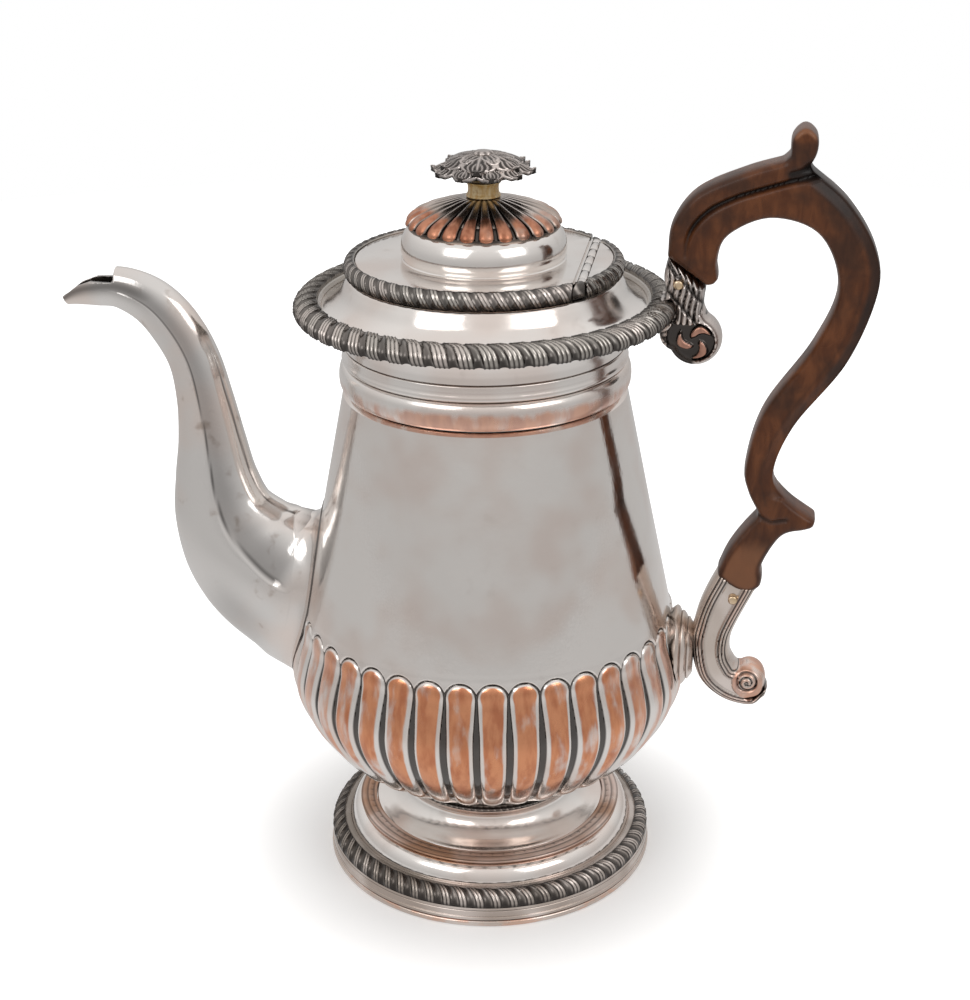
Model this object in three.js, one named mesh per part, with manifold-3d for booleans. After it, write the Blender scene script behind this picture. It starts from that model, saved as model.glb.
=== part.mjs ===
// Silver coffee pot with a hinged lid, a swan-neck spout and a carved wooden scroll handle.
// Millimetres, +Z up, the pot stands on z = 0.  The spout points along -X, the handle along +X.
// The origin is on the ground, half-way between the spout's tip and the handle's back.
import * as THREE from 'three';
import { mergeVertices } from 'three/addons/utils/BufferGeometryUtils.js';
import Module from 'manifold-3d';

const wasm = await Module();
wasm.setup();

// ---- driving dimensions -------------------------------------------------------------------
const POT_AXIS_X = 9.22;         // the pot's own axis, measured from the origin
const SEGMENTS = 32;             // facets around every turned piece
const GAP = 0.3;                 // space left where two pieces are soldered or rest together
const SHEET = 1.2;               // thickness of the plated sheet
const WALL = 1.5;                // thickness of the body wall

const FOOT_RADIUS = 60;
const FOOT_DOME_TOP = 18.3;
const BODY_FLOOR = 31.6;
const BODY_JOINT = 100.6;        // where the gadrooned bowl meets the plain upper body
const NECK_BASE = 181.4;
const NECK_RADIUS = 46.6;
const RIM_RADIUS = 63.2;
const MOUTH_RADIUS = 42;
const LID_TOP = 226;             // the flat plate of the lid
const LID_RADIUS = 43;
const LID_SEAT = LID_TOP - SHEET - GAP;

const HINGE_X = 35;              // hinge axis, from the pot's axis
const HINGE_Z = 224.3;
const KNUCKLE_RADIUS = 1.9;
const KNUCKLE_BORE = 0.95;
const PIN_RADIUS = 0.6;
const HINGE_HALF_LENGTH = 21.9;
const KNUCKLE_COUNT = 5;

const SCREW_RADIUS = 1.5;
const SCREW_HOLE = SCREW_RADIUS + GAP + 0.1;

const HANDLE_THICKNESS = 14;
const SOCKET_THICKNESS = 14.4;
const RIVET_RADIUS = 1.6;

// ---- materials ----------------------------------------------------------------------------
const paint = (color, roughness, metalness) => new THREE.MeshStandardMaterial({ color, roughness, metalness });
const SILVER = paint(0xc9c4c0, 0.25, 1);
const WORN_SILVER = paint(0xcf9f83, 0.35, 1);
const COPPER = paint(0xc98a63, 0.35, 1);
const DARK_SILVER = paint(0x8b8480, 0.4, 1);
const WOOD = paint(0x63402a, 0.45, 0);
const HORN = paint(0xb08a55, 0.4, 0);
const BRASS = paint(0xc2a15a, 0.35, 1);

// ---- solids and cuts ----------------------------------------------------------------------
function welded(geometry) {
  const bare = geometry.clone();
  bare.deleteAttribute('normal');
  bare.deleteAttribute('uv');
  const merged = mergeVertices(bare, 1e-4);
  const source = merged.index.array;
  const index = [];
  for (let i = 0; i < source.length; i += 3) {
    const [a, b, c] = [source[i], source[i + 1], source[i + 2]];
    if (a !== b && b !== c && c !== a) index.push(a, b, c);
  }
  merged.setIndex(index);
  return merged;
}

function signedVolume(geometry) {
  const p = geometry.attributes.position;
  const index = geometry.index.array;
  const [a, b, c] = [new THREE.Vector3(), new THREE.Vector3(), new THREE.Vector3()];
  let volume = 0;
  for (let i = 0; i < index.length; i += 3) {
    a.fromBufferAttribute(p, index[i]);
    b.fromBufferAttribute(p, index[i + 1]);
    c.fromBufferAttribute(p, index[i + 2]);
    volume += a.dot(b.cross(c)) / 6;
  }
  return volume;
}

function facingOut(geometry) {
  const closed = welded(geometry);
  if (signedVolume(closed) < 0) closed.setIndex(Array.from(closed.index.array).reverse());
  return closed;
}

function solid(geometry) {
  const closed = facingOut(geometry);
  const vertProperties = Float32Array.from(closed.attributes.position.array);
  const triVerts = Uint32Array.from(closed.index.array);
  return new wasm.Manifold(new wasm.Mesh({ numProp: 3, vertProperties, triVerts }));
}

function shell(body) {
  const mesh = body.getMesh();
  const geometry = new THREE.BufferGeometry();
  geometry.setAttribute('position', new THREE.BufferAttribute(mesh.vertProperties, 3));
  geometry.setIndex(new THREE.BufferAttribute(mesh.triVerts, 1));
  return geometry;
}

const cut = (piece, ...tools) => shell(tools.reduce((left, tool) => left.subtract(solid(tool)), solid(piece)));
const keep = (piece, tool) => shell(solid(piece).intersect(solid(tool)));
const join = (piece, other) => shell(solid(piece).add(solid(other)));

// ---- shapes -------------------------------------------------------------------------------
// A turned piece: the outline is [radius, z] points that close on themselves.
function ring(outline, segments = SEGMENTS) {
  const points = [...outline, outline[0]].map(([r, z]) => new THREE.Vector2(r, z));
  return facingOut(new THREE.LatheGeometry(points, segments).rotateX(Math.PI / 2));
}

// A turned piece whose outline starts and ends on the axis.
function turned(outline, segments = SEGMENTS) {
  const points = outline.map(([r, z]) => new THREE.Vector2(r, z));
  return facingOut(new THREE.LatheGeometry(points, segments).rotateX(Math.PI / 2));
}

function box([x0, y0, z0], [x1, y1, z1]) {
  const geometry = new THREE.BoxGeometry(x1 - x0, y1 - y0, z1 - z0);
  return geometry.translate((x0 + x1) / 2, (y0 + y1) / 2, (z0 + z1) / 2);
}

function rodAlongY(radius, y0, y1, x, z, sides = 12) {
  return new THREE.CylinderGeometry(radius, radius, y1 - y0, sides).translate(x, (y0 + y1) / 2, z);
}

function rodAlongZ(radius, z0, z1, sides = 12) {
  return new THREE.CylinderGeometry(radius, radius, z1 - z0, sides).rotateX(Math.PI / 2).translate(0, 0, (z0 + z1) / 2);
}

// A flat outline in the X-Z plane, extruded to a thickness that is centred on Y = 0.
function plate(shape, thickness, round = 0, curveSegments = 2) {
  const geometry = new THREE.ExtrudeGeometry(shape, {
    depth: thickness - 2 * round,
    curveSegments,
    bevelEnabled: round > 0,
    bevelThickness: round,
    bevelSize: round * 0.7,
    bevelOffset: -round * 0.7,
    bevelSegments: 1,
  });
  return geometry.translate(0, 0, round - thickness / 2).rotateX(Math.PI / 2);
}

// A closed skin over oval sections.  Each station is [x, z, half height, half width].
function loft(stations, around = 16) {
  const centres = stations.map(([x, z]) => new THREE.Vector3(x, 0, z));
  const positions = [];
  stations.forEach(([x, z, high, wide], i) => {
    const ahead = centres[Math.min(i + 1, centres.length - 1)];
    const behind = centres[Math.max(i - 1, 0)];
    const along = ahead.clone().sub(behind).normalize();
    for (let k = 0; k < around; k += 1) {
      const turn = (2 * Math.PI * k) / around;
      const lift = Math.sin(turn) * high;
      positions.push(x - along.z * lift, Math.cos(turn) * wide, z + along.x * lift);
    }
  });
  positions.push(...centres[0].toArray(), ...centres[centres.length - 1].toArray());
  const last = stations.length - 1;
  const index = [];
  for (let k = 0; k < around; k += 1) {
    const next = (k + 1) % around;
    for (let i = 0; i < last; i += 1) {
      const [a, b] = [i * around + k, i * around + next];
      index.push(a, b, a + around, b, b + around, a + around);
    }
    index.push((last + 1) * around, next, k);
    index.push((last + 1) * around + 1, last * around + k, last * around + next);
  }
  const geometry = new THREE.BufferGeometry();
  geometry.setAttribute('position', new THREE.Float32BufferAttribute(positions, 3));
  geometry.setIndex(index);
  return facingOut(geometry);
}

const offset = (profile, dr, dz = 0) => profile.map(([r, z]) => [r + dr, z + dz]);

// ---- outlines -----------------------------------------------------------------------------
const BOWL = [[33, BODY_FLOOR], [37, 36], [50.3, 44], [56.6, 48], [63.2, 56], [68.2, 64.6], [71, 75],
  [69.4, 85.6], [65.2, BODY_JOINT - GAP / 2]];
const TAPER = [[65.1, BODY_JOINT + GAP / 2], [57, 139.6], [48.8, 180]];

// Everything that the spout, the sockets and the boss have to stay clear of.
function bodyEnvelope(grow) {
  const side = offset([...BOWL, ...TAPER], grow);
  return turned([[0, BODY_FLOOR], ...side, [49.8 + grow, NECK_BASE + 6], [0, NECK_BASE + 6]]);
}

// Centres and half sizes of the spout, from inside the body to the lip.
const SPOUT = [[-44, 84, 29, 18], [-65, 100, 32.5, 19.4], [-77.4, 107.4, 30, 17.8], [-86.5, 113.4, 25.7, 16.2],
  [-92, 121, 22.5, 14.6], [-96, 130.5, 18.7, 12.8], [-97.8, 142.5, 15.2, 11], [-98.5, 156, 12.4, 9.4],
  [-100, 171.5, 10.3, 8.2], [-103, 186, 9.3, 7.4], [-109, 197.7, 9.2, 6.8], [-117, 206.3, 8.6, 6.2],
  [-127.5, 210.8, 7.4, 5.6], [-137, 210.2, 6.2, 4.8], [-143, 208.5, 4.2, 3.4], [-148, 205.8, 1.1, 1.2]];
const FLANGE_CLEARANCE = 0.4;
const BEAK_X = -128.5;           // the top of the spout stops here, and the beak beyond it is an open channel

function spoutStations(grow) {
  return SPOUT.map(([x, z, high, wide]) => [x, z, high + grow, wide + grow]);
}

function spoutChannel() {
  const stations = spoutStations(-SHEET).slice(0, -1);
  stations.push([-150, 206.6, 1.6, 1.4]);
  return loft(stations);
}

function beakCutter() {
  const shape = new THREE.Shape();
  shape.moveTo(BEAK_X, 230);
  shape.lineTo(BEAK_X, 212.3);
  shape.lineTo(-137, 212.2);
  shape.lineTo(-142.5, 210);
  shape.lineTo(-149.5, 204.9);
  shape.lineTo(-160, 204.9);
  shape.lineTo(-160, 230);
  return plate(shape, 40);
}

// ---- foot ---------------------------------------------------------------------------------
const footWire = ring([[57.4, 0], [59.5, 0], [FOOT_RADIUS, 1.1], [59.5, 2.2], [57.4, 2.2]]);
const footBand = ring([[57.9, 2.5], [59.4, 2.5], [59, 7.3], [57.5, 7.3]]);
const footBorder = ring([[53.1, 7.6], [58.6, 7.6], [58.5, 9.4], [56.8, 11.6], [54.2, 12.4], [53.1, 11.8]]);
const footDome = ring([[57.2, 6.3], [57.2, 7.3], [52.7, 7.3], [51.9, 14], [48.7, FOOT_DOME_TOP],
  [41.8, FOOT_DOME_TOP], [41.8, 17.1], [48.1, 17.1], [50.7, 13.4], [51.4, 6.3]]);
const footStepRing = ring([[42.4, 18.6], [48.3, 18.6], [48.3, 19.6], [42.4, 19.8]]);
const footNeck = ring([[42.1, 18.6], [42.1, 19.4], [35.4, 21.4], [31.1, 26.6], [32, 29.6], [30.8, 29.6], [29.9, 26.6],
  [34.6, 20.4], [40.8, 18.6]]);
const footCollar = ring([[29.5, 29.9], [32.4, 29.9], [32.9, 31.3], [29.5, 31.3]]);

// ---- body ---------------------------------------------------------------------------------
const spoutHole = new THREE.CylinderGeometry(1, 1, 60, 16).rotateZ(Math.PI / 2).scale(1, 11, 24).translate(-60, 0, 98);

function lowerBody() {
  const inside = offset(BOWL.slice(2), -WALL).reverse();
  return cut(turned([[0, BODY_FLOOR], ...BOWL, ...inside, [32.5, 34], [0, 34]]), spoutHole);
}

function upperBody() {
  const inside = offset(TAPER, -WALL).reverse();
  const neck = [[NECK_RADIUS, NECK_BASE], [NECK_RADIUS, 211], [NECK_RADIUS - SHEET, 211], [NECK_RADIUS - SHEET, NECK_BASE]];
  return cut(ring([...TAPER, ...neck, ...inside]), spoutHole);
}

const neckTorus = ring([[46.9, 181.7], [48.6, 181.7], [49.8, 186.4], [48.4, 191.2], [46.9, 191.2]]);
const neckMoulding = ring([[46.9, 191.5], [48.6, 192.4], [48.3, 196.9], [46.9, 196.9]]);
const neckFlare = ring([[46.9, 197.3], [47.9, 197.3], [48.5, 202.4], [52, 206.2], [60.3, 207.6],
  [60.3, 208.7], [51.2, 207.2], [47.3, 202.8]]);

// ---- rim and mouth ------------------------------------------------------------------------
const rimDish = ring([[43.5, 220.6], [45.5, 220.6], [49, 214.4], [54.6, 211], [60.3, 210.3],
  [60.3, 209.1], [54.2, 209.8], [48, 213.6], [44.9, 219.4], [43.5, 219.4]]);
const RIM_BORDER = [[55.2, 211.4], [60.6, 210.6], [60.6, 207.6], [62.2, 208], [RIM_RADIUS, 209.8], [61.2, 212.7],
  [57, 213.1]];
const rimBorder = ring(RIM_BORDER);

/** The wall round the mouth, lowered beside the hinge so that the opening lid's border clears it. */
function mouthBezel() {
  const wall = ring([[MOUTH_RADIUS, 211], [43.2, 211], [43.2, LID_SEAT], [MOUTH_RADIUS, LID_SEAT]]);
  return cut(wall, box([14, -50, 220.7], [FIXED_CUT_X + GAP, 50, 230]));
}

// ---- spout --------------------------------------------------------------------------------
function spoutTube() {
  return cut(loft(spoutStations(0)), spoutChannel(), beakCutter(), bodyEnvelope(GAP));
}

function spoutHalf(tube, side) {
  const [near, far] = [GAP / 2, 60].map((y) => y * side);
  return keep(tube, box([-170, Math.min(near, far), 0], [0, Math.max(near, far), 240]));
}

function spoutFlange() {
  const collar = keep(loft(spoutStations(2.6).slice(0, 6)), bodyEnvelope(2));
  return cut(collar, bodyEnvelope(GAP), loft(spoutStations(FLANGE_CLEARANCE).slice(0, 6)), box([-48, -50, 0], [90, 50, 240]));
}

// ---- handle -------------------------------------------------------------------------------
const points = (list) => list.map(([x, z]) => new THREE.Vector2(x, z));

function woodenScroll() {
  const shape = new THREE.Shape();
  shape.moveTo(61, 229);
  shape.splineThru(points([[62.6, 240], [70.5, 250], [86, 257], [98, 262]]));
  shape.splineThru(points([[99, 268.5], [103.4, 272.4], [108.1, 265.4], [105, 258.4]]));
  shape.splineThru(points([[118, 248.6], [127.3, 234], [129.2, 219], [121, 195], [105, 172], [99, 154.5], [104, 145.7],
    [114, 138]]));
  shape.lineTo(112.8, 135.2);
  shape.splineThru(points([[103, 131.8], [97.2, 121], [97, 114.2]]));
  shape.lineTo(95, 110.4);
  shape.lineTo(81.6, 115.4);
  shape.splineThru(points([[84.2, 124], [94.6, 139.4]]));
  shape.splineThru(points([[89.3, 157], [94.5, 177], [109.5, 200.5], [116.3, 220], [109.5, 237.4], [94, 242.6],
    [80.5, 236.6], [77.2, 228], [77.6, 222]]));
  shape.lineTo(74.2, 219.4);
  return plate(shape, HANDLE_THICKNESS, 3);
}

// A square peg in the X-Z plane that leaves [x, z] at an angle from straight down.
function peg([x, z], angle, length, width, thickness) {
  return box([-width / 2, -thickness / 2, -length], [width / 2, thickness / 2, 3]).rotateY(angle).translate(x, 0, z);
}

const UPPER_PEG = [67.6, 224.2];
const UPPER_PEG_ANGLE = 0.63;
const LOWER_PEG = [88.3, 113];
const LOWER_PEG_ANGLE = 0.2;
const PEG_WIDTH = 7;
const UPPER_RIVET = [65, 220.4];
const LOWER_RIVET = [87.4, 107.7];

const rivetHole = ([x, z]) => rodAlongY(RIVET_RADIUS + GAP + 0.1, -20, 20, x, z);

function handle() {
  const upper = join(woodenScroll(), peg(UPPER_PEG, UPPER_PEG_ANGLE, 9, PEG_WIDTH, PEG_WIDTH));
  const both = join(upper, peg(LOWER_PEG, LOWER_PEG_ANGLE, 13, PEG_WIDTH, PEG_WIDTH));
  return cut(both, rivetHole(UPPER_RIVET), rivetHole(LOWER_RIVET));
}

function rivet([x, z]) {
  return rodAlongY(RIVET_RADIUS, -SOCKET_THICKNESS / 2 - 0.4, SOCKET_THICKNESS / 2 + 0.4, x, z, 12);
}

// What the upper socket is soldered against: the flared neck, the rim and its border.
function rimEnvelope() {
  return turned([[0, 197], [48.3, 197], [48.9, 202.2], [52.2, 205.8], [60.4, 207.2], [62.5, 207.6], [63.7, 209.8],
    [61.5, 213.1], [57, 213.5], [0, 213.5]]);
}

function upperSocket() {
  const shape = new THREE.Shape();
  shape.moveTo(60.6, 228.4);
  shape.splineThru(points([[58.9, 222], [59.6, 214], [56, 206], [62, 199]]));
  shape.absarc(70.9, 200.8, 9, Math.PI * 1.06, Math.PI * 2.34, false);
  shape.splineThru(points([[73.2, 213], [73.8, 218.8]]));
  const leaf = plate(shape, SOCKET_THICKNESS, 0, 4);
  return cut(leaf, rimEnvelope(), peg(UPPER_PEG, UPPER_PEG_ANGLE, 9.6, PEG_WIDTH + 0.8, PEG_WIDTH + 0.8),
    rivetHole(UPPER_RIVET));
}

function lowerSocket() {
  const shape = new THREE.Shape();
  shape.moveTo(81.4, 115);
  shape.splineThru(points([[75.2, 102], [73.4, 88], [76.4, 75], [85, 67], [95.6, 64.8], [100.8, 69]]));
  shape.lineTo(99.9, 73);
  shape.absarc(93.6, 73, 6.3, 0, Math.PI * 0.72, false);
  shape.splineThru(points([[87.4, 84], [89.2, 96], [95.2, 110.2]]));
  const leaf = plate(shape, SOCKET_THICKNESS, 0, 3);
  return cut(leaf, peg(LOWER_PEG, LOWER_PEG_ANGLE, 13.6, PEG_WIDTH + 0.8, PEG_WIDTH + 0.8), rivetHole(LOWER_RIVET));
}

function lowerBoss() {
  const cone = new THREE.CylinderGeometry(8.5, 14.5, 12, 20).rotateZ(-Math.PI / 2).translate(67, 0, 84.5);
  return cut(cone, bodyEnvelope(GAP), plate(boxShape([72.9, 60], [90, 110]), 40));
}

function boxShape([x0, z0], [x1, z1]) {
  return new THREE.Shape(points([[x0, z0], [x1, z0], [x1, z1], [x0, z1]]));
}

// ---- lid ----------------------------------------------------------------------------------
const LID_CUT_X = HINGE_X - KNUCKLE_RADIUS - GAP - 0.1;
const FIXED_CUT_X = HINGE_X + KNUCKLE_RADIUS + GAP;
const lidSide = (limit) => box([-60, -60, 200], [limit, 60, 240]);
const fixedSide = (limit) => box([limit, -60, 200], [60, 60, 240]);

const LID_BORDER = [[43.3, 221.1], [45.6, 221], [46.4, 222.6], [46.3, 224.6], [45.1, 226.2], [43.3, 226.4]];
const lidDisc = ring([[24.5, LID_TOP - SHEET], [LID_RADIUS, LID_TOP - SHEET], [LID_RADIUS, LID_TOP], [24.5, LID_TOP]]);
const lidPlate = keep(lidDisc, lidSide(LID_CUT_X));
const fixedDisc = ring([[30, LID_TOP - SHEET], [LID_RADIUS, LID_TOP - SHEET], [LID_RADIUS, LID_TOP], [30, LID_TOP]]);
const fixedSegment = keep(fixedDisc, fixedSide(FIXED_CUT_X));
const lidBorder = keep(ring(LID_BORDER), lidSide(LID_CUT_X));
const fixedBorder = keep(ring(LID_BORDER), fixedSide(HINGE_X + GAP));
const lidBezel = keep(ring([[39.8, 217.6], [41.1, 217.6], [41.1, LID_SEAT], [39.8, LID_SEAT]]), lidSide(29));

const lidDome = ring([[26.8, 226.3], [27.5, 230.4], [25.8, 235.8], [20, 239.2], [SCREW_HOLE, 243.1],
  [SCREW_HOLE, 242], [19.4, 238.1], [24.9, 234.9], [25.7, 226.3]]);
const lidCap = ring([[26.1, 236.3], [25, 239.4], [20.6, 242.4], [8.6, 246], [SCREW_HOLE, 246.2],
  [SCREW_HOLE, 245.2], [20, 241.3], [25.1, 236.3]]);

// ---- finial -------------------------------------------------------------------------------
const finialSpool = ring([[SCREW_HOLE, 246.5], [5.6, 246.5], [5.1, 249], [5.7, 251.5], [SCREW_HOLE, 251.5]], 16);
const finialFlower = ring([[SCREW_HOLE, 251.8], [8, 251.9], [16.9, 253.8], [17.2, 254.8], [12.6, 258.2],
  [8, 259.8], [SCREW_HOLE, 259.6]], 24);
const finialScrew = rodAlongZ(SCREW_RADIUS, 236.8, 259.6);
const finialButton = turned([[0, 260.1], [3, 260.1], [2.6, 261.4], [0, 262]], 16);
const finialWasher = ring([[SCREW_HOLE, 240.2], [5, 240.2], [5, 241.1], [SCREW_HOLE, 241.1]], 16);
const finialNut = ring([[SCREW_HOLE, 237.3], [3.6, 237.3], [3.6, 239.9], [SCREW_HOLE, 239.9]], 6);

// ---- hinge --------------------------------------------------------------------------------
function knuckle(place) {
  const pitch = (2 * HINGE_HALF_LENGTH) / KNUCKLE_COUNT;
  const y0 = -HINGE_HALF_LENGTH + pitch * place + GAP / 2;
  const y1 = y0 + pitch - GAP;
  const tube = rodAlongY(KNUCKLE_RADIUS, y0, y1, HINGE_X, HINGE_Z, 16);
  return cut(tube, rodAlongY(KNUCKLE_BORE, y0 - 1, y1 + 1, HINGE_X, HINGE_Z, 12));
}

const hingePin = rodAlongY(PIN_RADIUS, -HINGE_HALF_LENGTH + 0.2, HINGE_HALF_LENGTH - 0.2, HINGE_X, HINGE_Z);

// ---- assembly -----------------------------------------------------------------------------
const pot = new THREE.Group();
pot.position.x = POT_AXIS_X;

function add(name, geometry, material) {
  const mesh = new THREE.Mesh(geometry, material.clone());
  mesh.name = name;
  pot.add(mesh);
}

add('foot_wire', footWire, COPPER);
add('foot_band', footBand, SILVER);
add('foot_border', footBorder, DARK_SILVER);
add('foot_dome', footDome, SILVER);
add('foot_step_ring', footStepRing, WORN_SILVER);
add('foot_neck', footNeck, SILVER);
add('foot_collar', footCollar, DARK_SILVER);
add('lower_body', lowerBody(), WORN_SILVER);
add('upper_body', upperBody(), SILVER);
add('neck_torus', neckTorus, WORN_SILVER);
add('neck_moulding', neckMoulding, SILVER);
add('neck_flare', neckFlare, SILVER);
add('rim_dish', rimDish, SILVER);
add('rim_border', rimBorder, DARK_SILVER);
add('mouth_bezel', mouthBezel(), SILVER);

const tube = spoutTube();
add('spout_half_front', spoutHalf(tube, -1), SILVER);
add('spout_half_back', spoutHalf(tube, 1), SILVER);
add('spout_flange', spoutFlange(), SILVER);

add('handle', handle(), WOOD);
add('upper_socket', upperSocket(), DARK_SILVER);
add('upper_socket_rivet', rivet(UPPER_RIVET), BRASS);
add('lower_socket', lowerSocket(), SILVER);
add('lower_socket_rivet', rivet(LOWER_RIVET), BRASS);
add('lower_boss', lowerBoss(), SILVER);

add('fixed_lid_segment', fixedSegment, SILVER);
add('fixed_border_segment', fixedBorder, DARK_SILVER);
['body_knuckle_front', 'lid_knuckle_front', 'body_knuckle_middle', 'lid_knuckle_back', 'body_knuckle_back']
  .forEach((name, place) => add(name, knuckle(place), SILVER));
add('hinge_pin', hingePin, SILVER);

add('lid_plate', lidPlate, SILVER);
add('lid_border', lidBorder, DARK_SILVER);
add('lid_bezel', lidBezel, SILVER);
add('lid_dome', lidDome, SILVER);
add('lid_cap', lidCap, WORN_SILVER);
add('finial_spool', finialSpool, HORN);
add('finial_flower', finialFlower, DARK_SILVER);
add('finial_button', finialButton, DARK_SILVER);
add('finial_screw', finialScrew, SILVER);
add('finial_washer', finialWasher, SILVER);
add('finial_nut', finialNut, BRASS);

export default pot;
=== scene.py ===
"""A silver coffee pot with a wooden handle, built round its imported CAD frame.

Sizes are in millimetres from the pot's own axis, as in the CAD source, and become metres when a mesh is made.
"""

import math

import bpy
import numpy as np
from mathutils import Matrix, Vector
from mathutils.kdtree import KDTree


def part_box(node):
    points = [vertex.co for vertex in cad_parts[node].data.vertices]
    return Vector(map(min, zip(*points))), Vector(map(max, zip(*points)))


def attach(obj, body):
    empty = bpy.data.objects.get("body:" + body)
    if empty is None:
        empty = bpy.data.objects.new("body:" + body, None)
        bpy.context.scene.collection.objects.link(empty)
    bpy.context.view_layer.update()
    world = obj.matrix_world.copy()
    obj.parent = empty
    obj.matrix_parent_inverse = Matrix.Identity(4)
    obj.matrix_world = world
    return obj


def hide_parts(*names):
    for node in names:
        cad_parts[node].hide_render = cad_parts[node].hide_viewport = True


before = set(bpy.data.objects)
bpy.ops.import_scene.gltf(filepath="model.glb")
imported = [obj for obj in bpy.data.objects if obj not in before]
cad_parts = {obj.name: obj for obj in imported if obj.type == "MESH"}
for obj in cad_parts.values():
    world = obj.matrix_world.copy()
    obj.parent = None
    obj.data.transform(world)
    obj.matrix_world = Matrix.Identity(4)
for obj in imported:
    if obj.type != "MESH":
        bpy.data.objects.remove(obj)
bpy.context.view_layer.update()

MM = 0.001
TAU = 2 * math.pi
wire_low, wire_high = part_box("foot_wire")
pin_low, pin_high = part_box("hinge_pin")
AXIS = np.array([(wire_low.x + wire_high.x) / 2, 0, 0])      # the pot's upright axis, in metres
HINGE_X = (pin_low.x + pin_high.x) / 2 / MM - AXIS[0] / MM
HINGE_Z = (pin_low.z + pin_high.z) / 2 / MM

# ---- driving dimensions ----
WALL = 1.5
SHEET = 1.2
PLAIN_COLUMNS = 256
BOWL_ROWS = 150
PLAIN_START = 103.0
FOOT_LOBES = 62
COLLAR_BEADS = 90
RIM_LOBES = 52
LID_LOBES = 57
BODY_LOBES = 39
LOBE_FOOT = 41.0                                # heights where the body's lobes start and end
LOBE_TOP = 99.4
LOBE_DEPTH = 1.7
LOBE_TURN = math.radians(1.5)
CAP_LOBES = 25
STEP_NOTCHES = 72
RIM_RADIUS = 63.2
LID_TOP = 226.0
LID_RADIUS = 43.0
SEAT_TOP = 220.7
MOUTH_RADIUS = 42.0
MOUTH_WALL = 1.2
MOUTH_NOTCH_X = 14.0                            # from here to the hinge the mouth's wall is low
BEZEL_CUT_X = 29.0
KNUCKLE_RADIUS = 1.9
KNUCKLE_GROWTH = 0.14                           # what closes the gaps between the knuckles
PIN_BORE = 0.95
HINGE_END = (22.1, 25.6)                        # from and to, on each side of the middle
LID_STRIP_HALF = 26.4
FIXED_STRIP_HALF = 25.0
BORDER_END_Y = 25.7
LID_CUT_X = HINGE_X - KNUCKLE_RADIUS - 0.35
FIXED_CUT_X = HINGE_X + KNUCKLE_RADIUS + 0.25
HANDLE_HALF = 7.0
LEAF_STEPS = 40
LEAF_HALF_RING = 25
SOCKET_HALF = 7.2
REED_HEIGHT = 0.48                              # of a lobe's height

BOWL = [[33.5, 33], [37, 36], [43.5, 40], [50.3, 44], [56.6, 48], [60.3, 52], [63.2, 56], [65.8, 60],
        [67.9, 64], [69.5, 68], [70.6, 72], [71, 76], [70.6, 80], [69.2, 86], [67.4, 92], [65.9, 98],
        [65.15, 100.6]]
TAPER = [[64.66, PLAIN_START], [57, 139.6], [48.8, 180]]


# ---- curves ----
def evenly(path, count):
    """Points at equal steps along a path. The first two or three columns are its place."""
    steps = np.linalg.norm(np.diff(path[:, :2], axis=0), axis=1)
    along = np.concatenate([[0], np.cumsum(steps)])
    at = np.linspace(0, along[-1], count)
    return np.stack([np.interp(at, along, column) for column in path.T], 1)


def spline(points, count, closed=False):
    """Evenly spaced points on a smooth curve through the given ones."""
    p = np.asarray(points, float)
    if closed:
        knots = np.vstack([p[-1:], p, p[:2]])
    else:
        knots = np.vstack([2 * p[:1] - p[1:2], p, 2 * p[-1:] - p[-2:-1]])
    t = np.linspace(0, 1, 16, endpoint=False)[:, None]
    spans = []
    for a, b, c, d in zip(knots, knots[1:], knots[2:], knots[3:]):
        slope, curve, twist = c - a, 2 * a - 5 * b + 4 * c - d, 3 * b - a - 3 * c + d
        spans.append(b + 0.5 * (slope * t + curve * t**2 + twist * t**3))
    return evenly(np.vstack([*spans, p[:1] if closed else p[-1:]]), count)


def joined(*runs):
    return np.vstack([np.asarray(run, float) for run in runs])


def rounded(outline, radius, steps=4):
    """A closed outline with its corners rounded."""
    p = np.asarray(outline, float)
    t = np.linspace(0, 1, steps + 1)[:, None]
    corners = []
    for before, corner, after in zip(np.roll(p, 1, 0), p, np.roll(p, -1, 0)):
        ends = []
        for other in (before, after):
            length = np.linalg.norm(other - corner)
            ends.append(corner + (other - corner) * min(radius / length, 0.45))
        corners.append((1 - t) ** 2 * ends[0] + 2 * t * (1 - t) * corner + t**2 * ends[1])
    return np.vstack(corners)


def normals_of(outline, closed=True):
    """Unit normals of a path, to its right."""
    p = np.asarray(outline, float)
    if closed:
        step = np.roll(p, -1, 0) - np.roll(p, 1, 0)
    else:
        step = np.gradient(p, axis=0)
    step = step / np.maximum(np.linalg.norm(step, axis=1, keepdims=True), 1e-9)
    return np.stack([step[:, 1], -step[:, 0]], 1)


def pushed(outline, move):
    """Radius and height of an outline's points, each moved out along its normal."""
    side = normals_of(outline)
    return outline[:, :1] + move * side[:, :1], outline[:, 1:] + move * side[:, 1:]


def sheet(face, thickness):
    """The closed outline of sheet metal whose outer face is given, with the metal on the path's left."""
    face = np.asarray(face, float)
    return np.vstack([face, (face - thickness * normals_of(face, closed=False))[::-1]])


def smooth_step(value, low, high):
    """From 0 at low to 1 at high, level at both ends."""
    t = np.clip((value - low) / (high - low), 0, 1)
    return t * t * (3 - 2 * t)


def bell(value, width, middle=0.0):
    """A smooth bump that is 1 at the middle and fades over the width."""
    return np.exp(-(((value - middle) / width) ** 2))


def ridge(phase, start, end):
    """A half-round bump from 0 to 1 between two phases."""
    middle, half = (start + end) / 2, (end - start) / 2
    return np.sqrt(np.clip(1 - ((phase - middle) / half) ** 2, 0, 1))


def turn_from(angle, middle):
    """The angle from middle, at most half a turn either way."""
    return (angle - middle + math.pi) % TAU - math.pi


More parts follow.
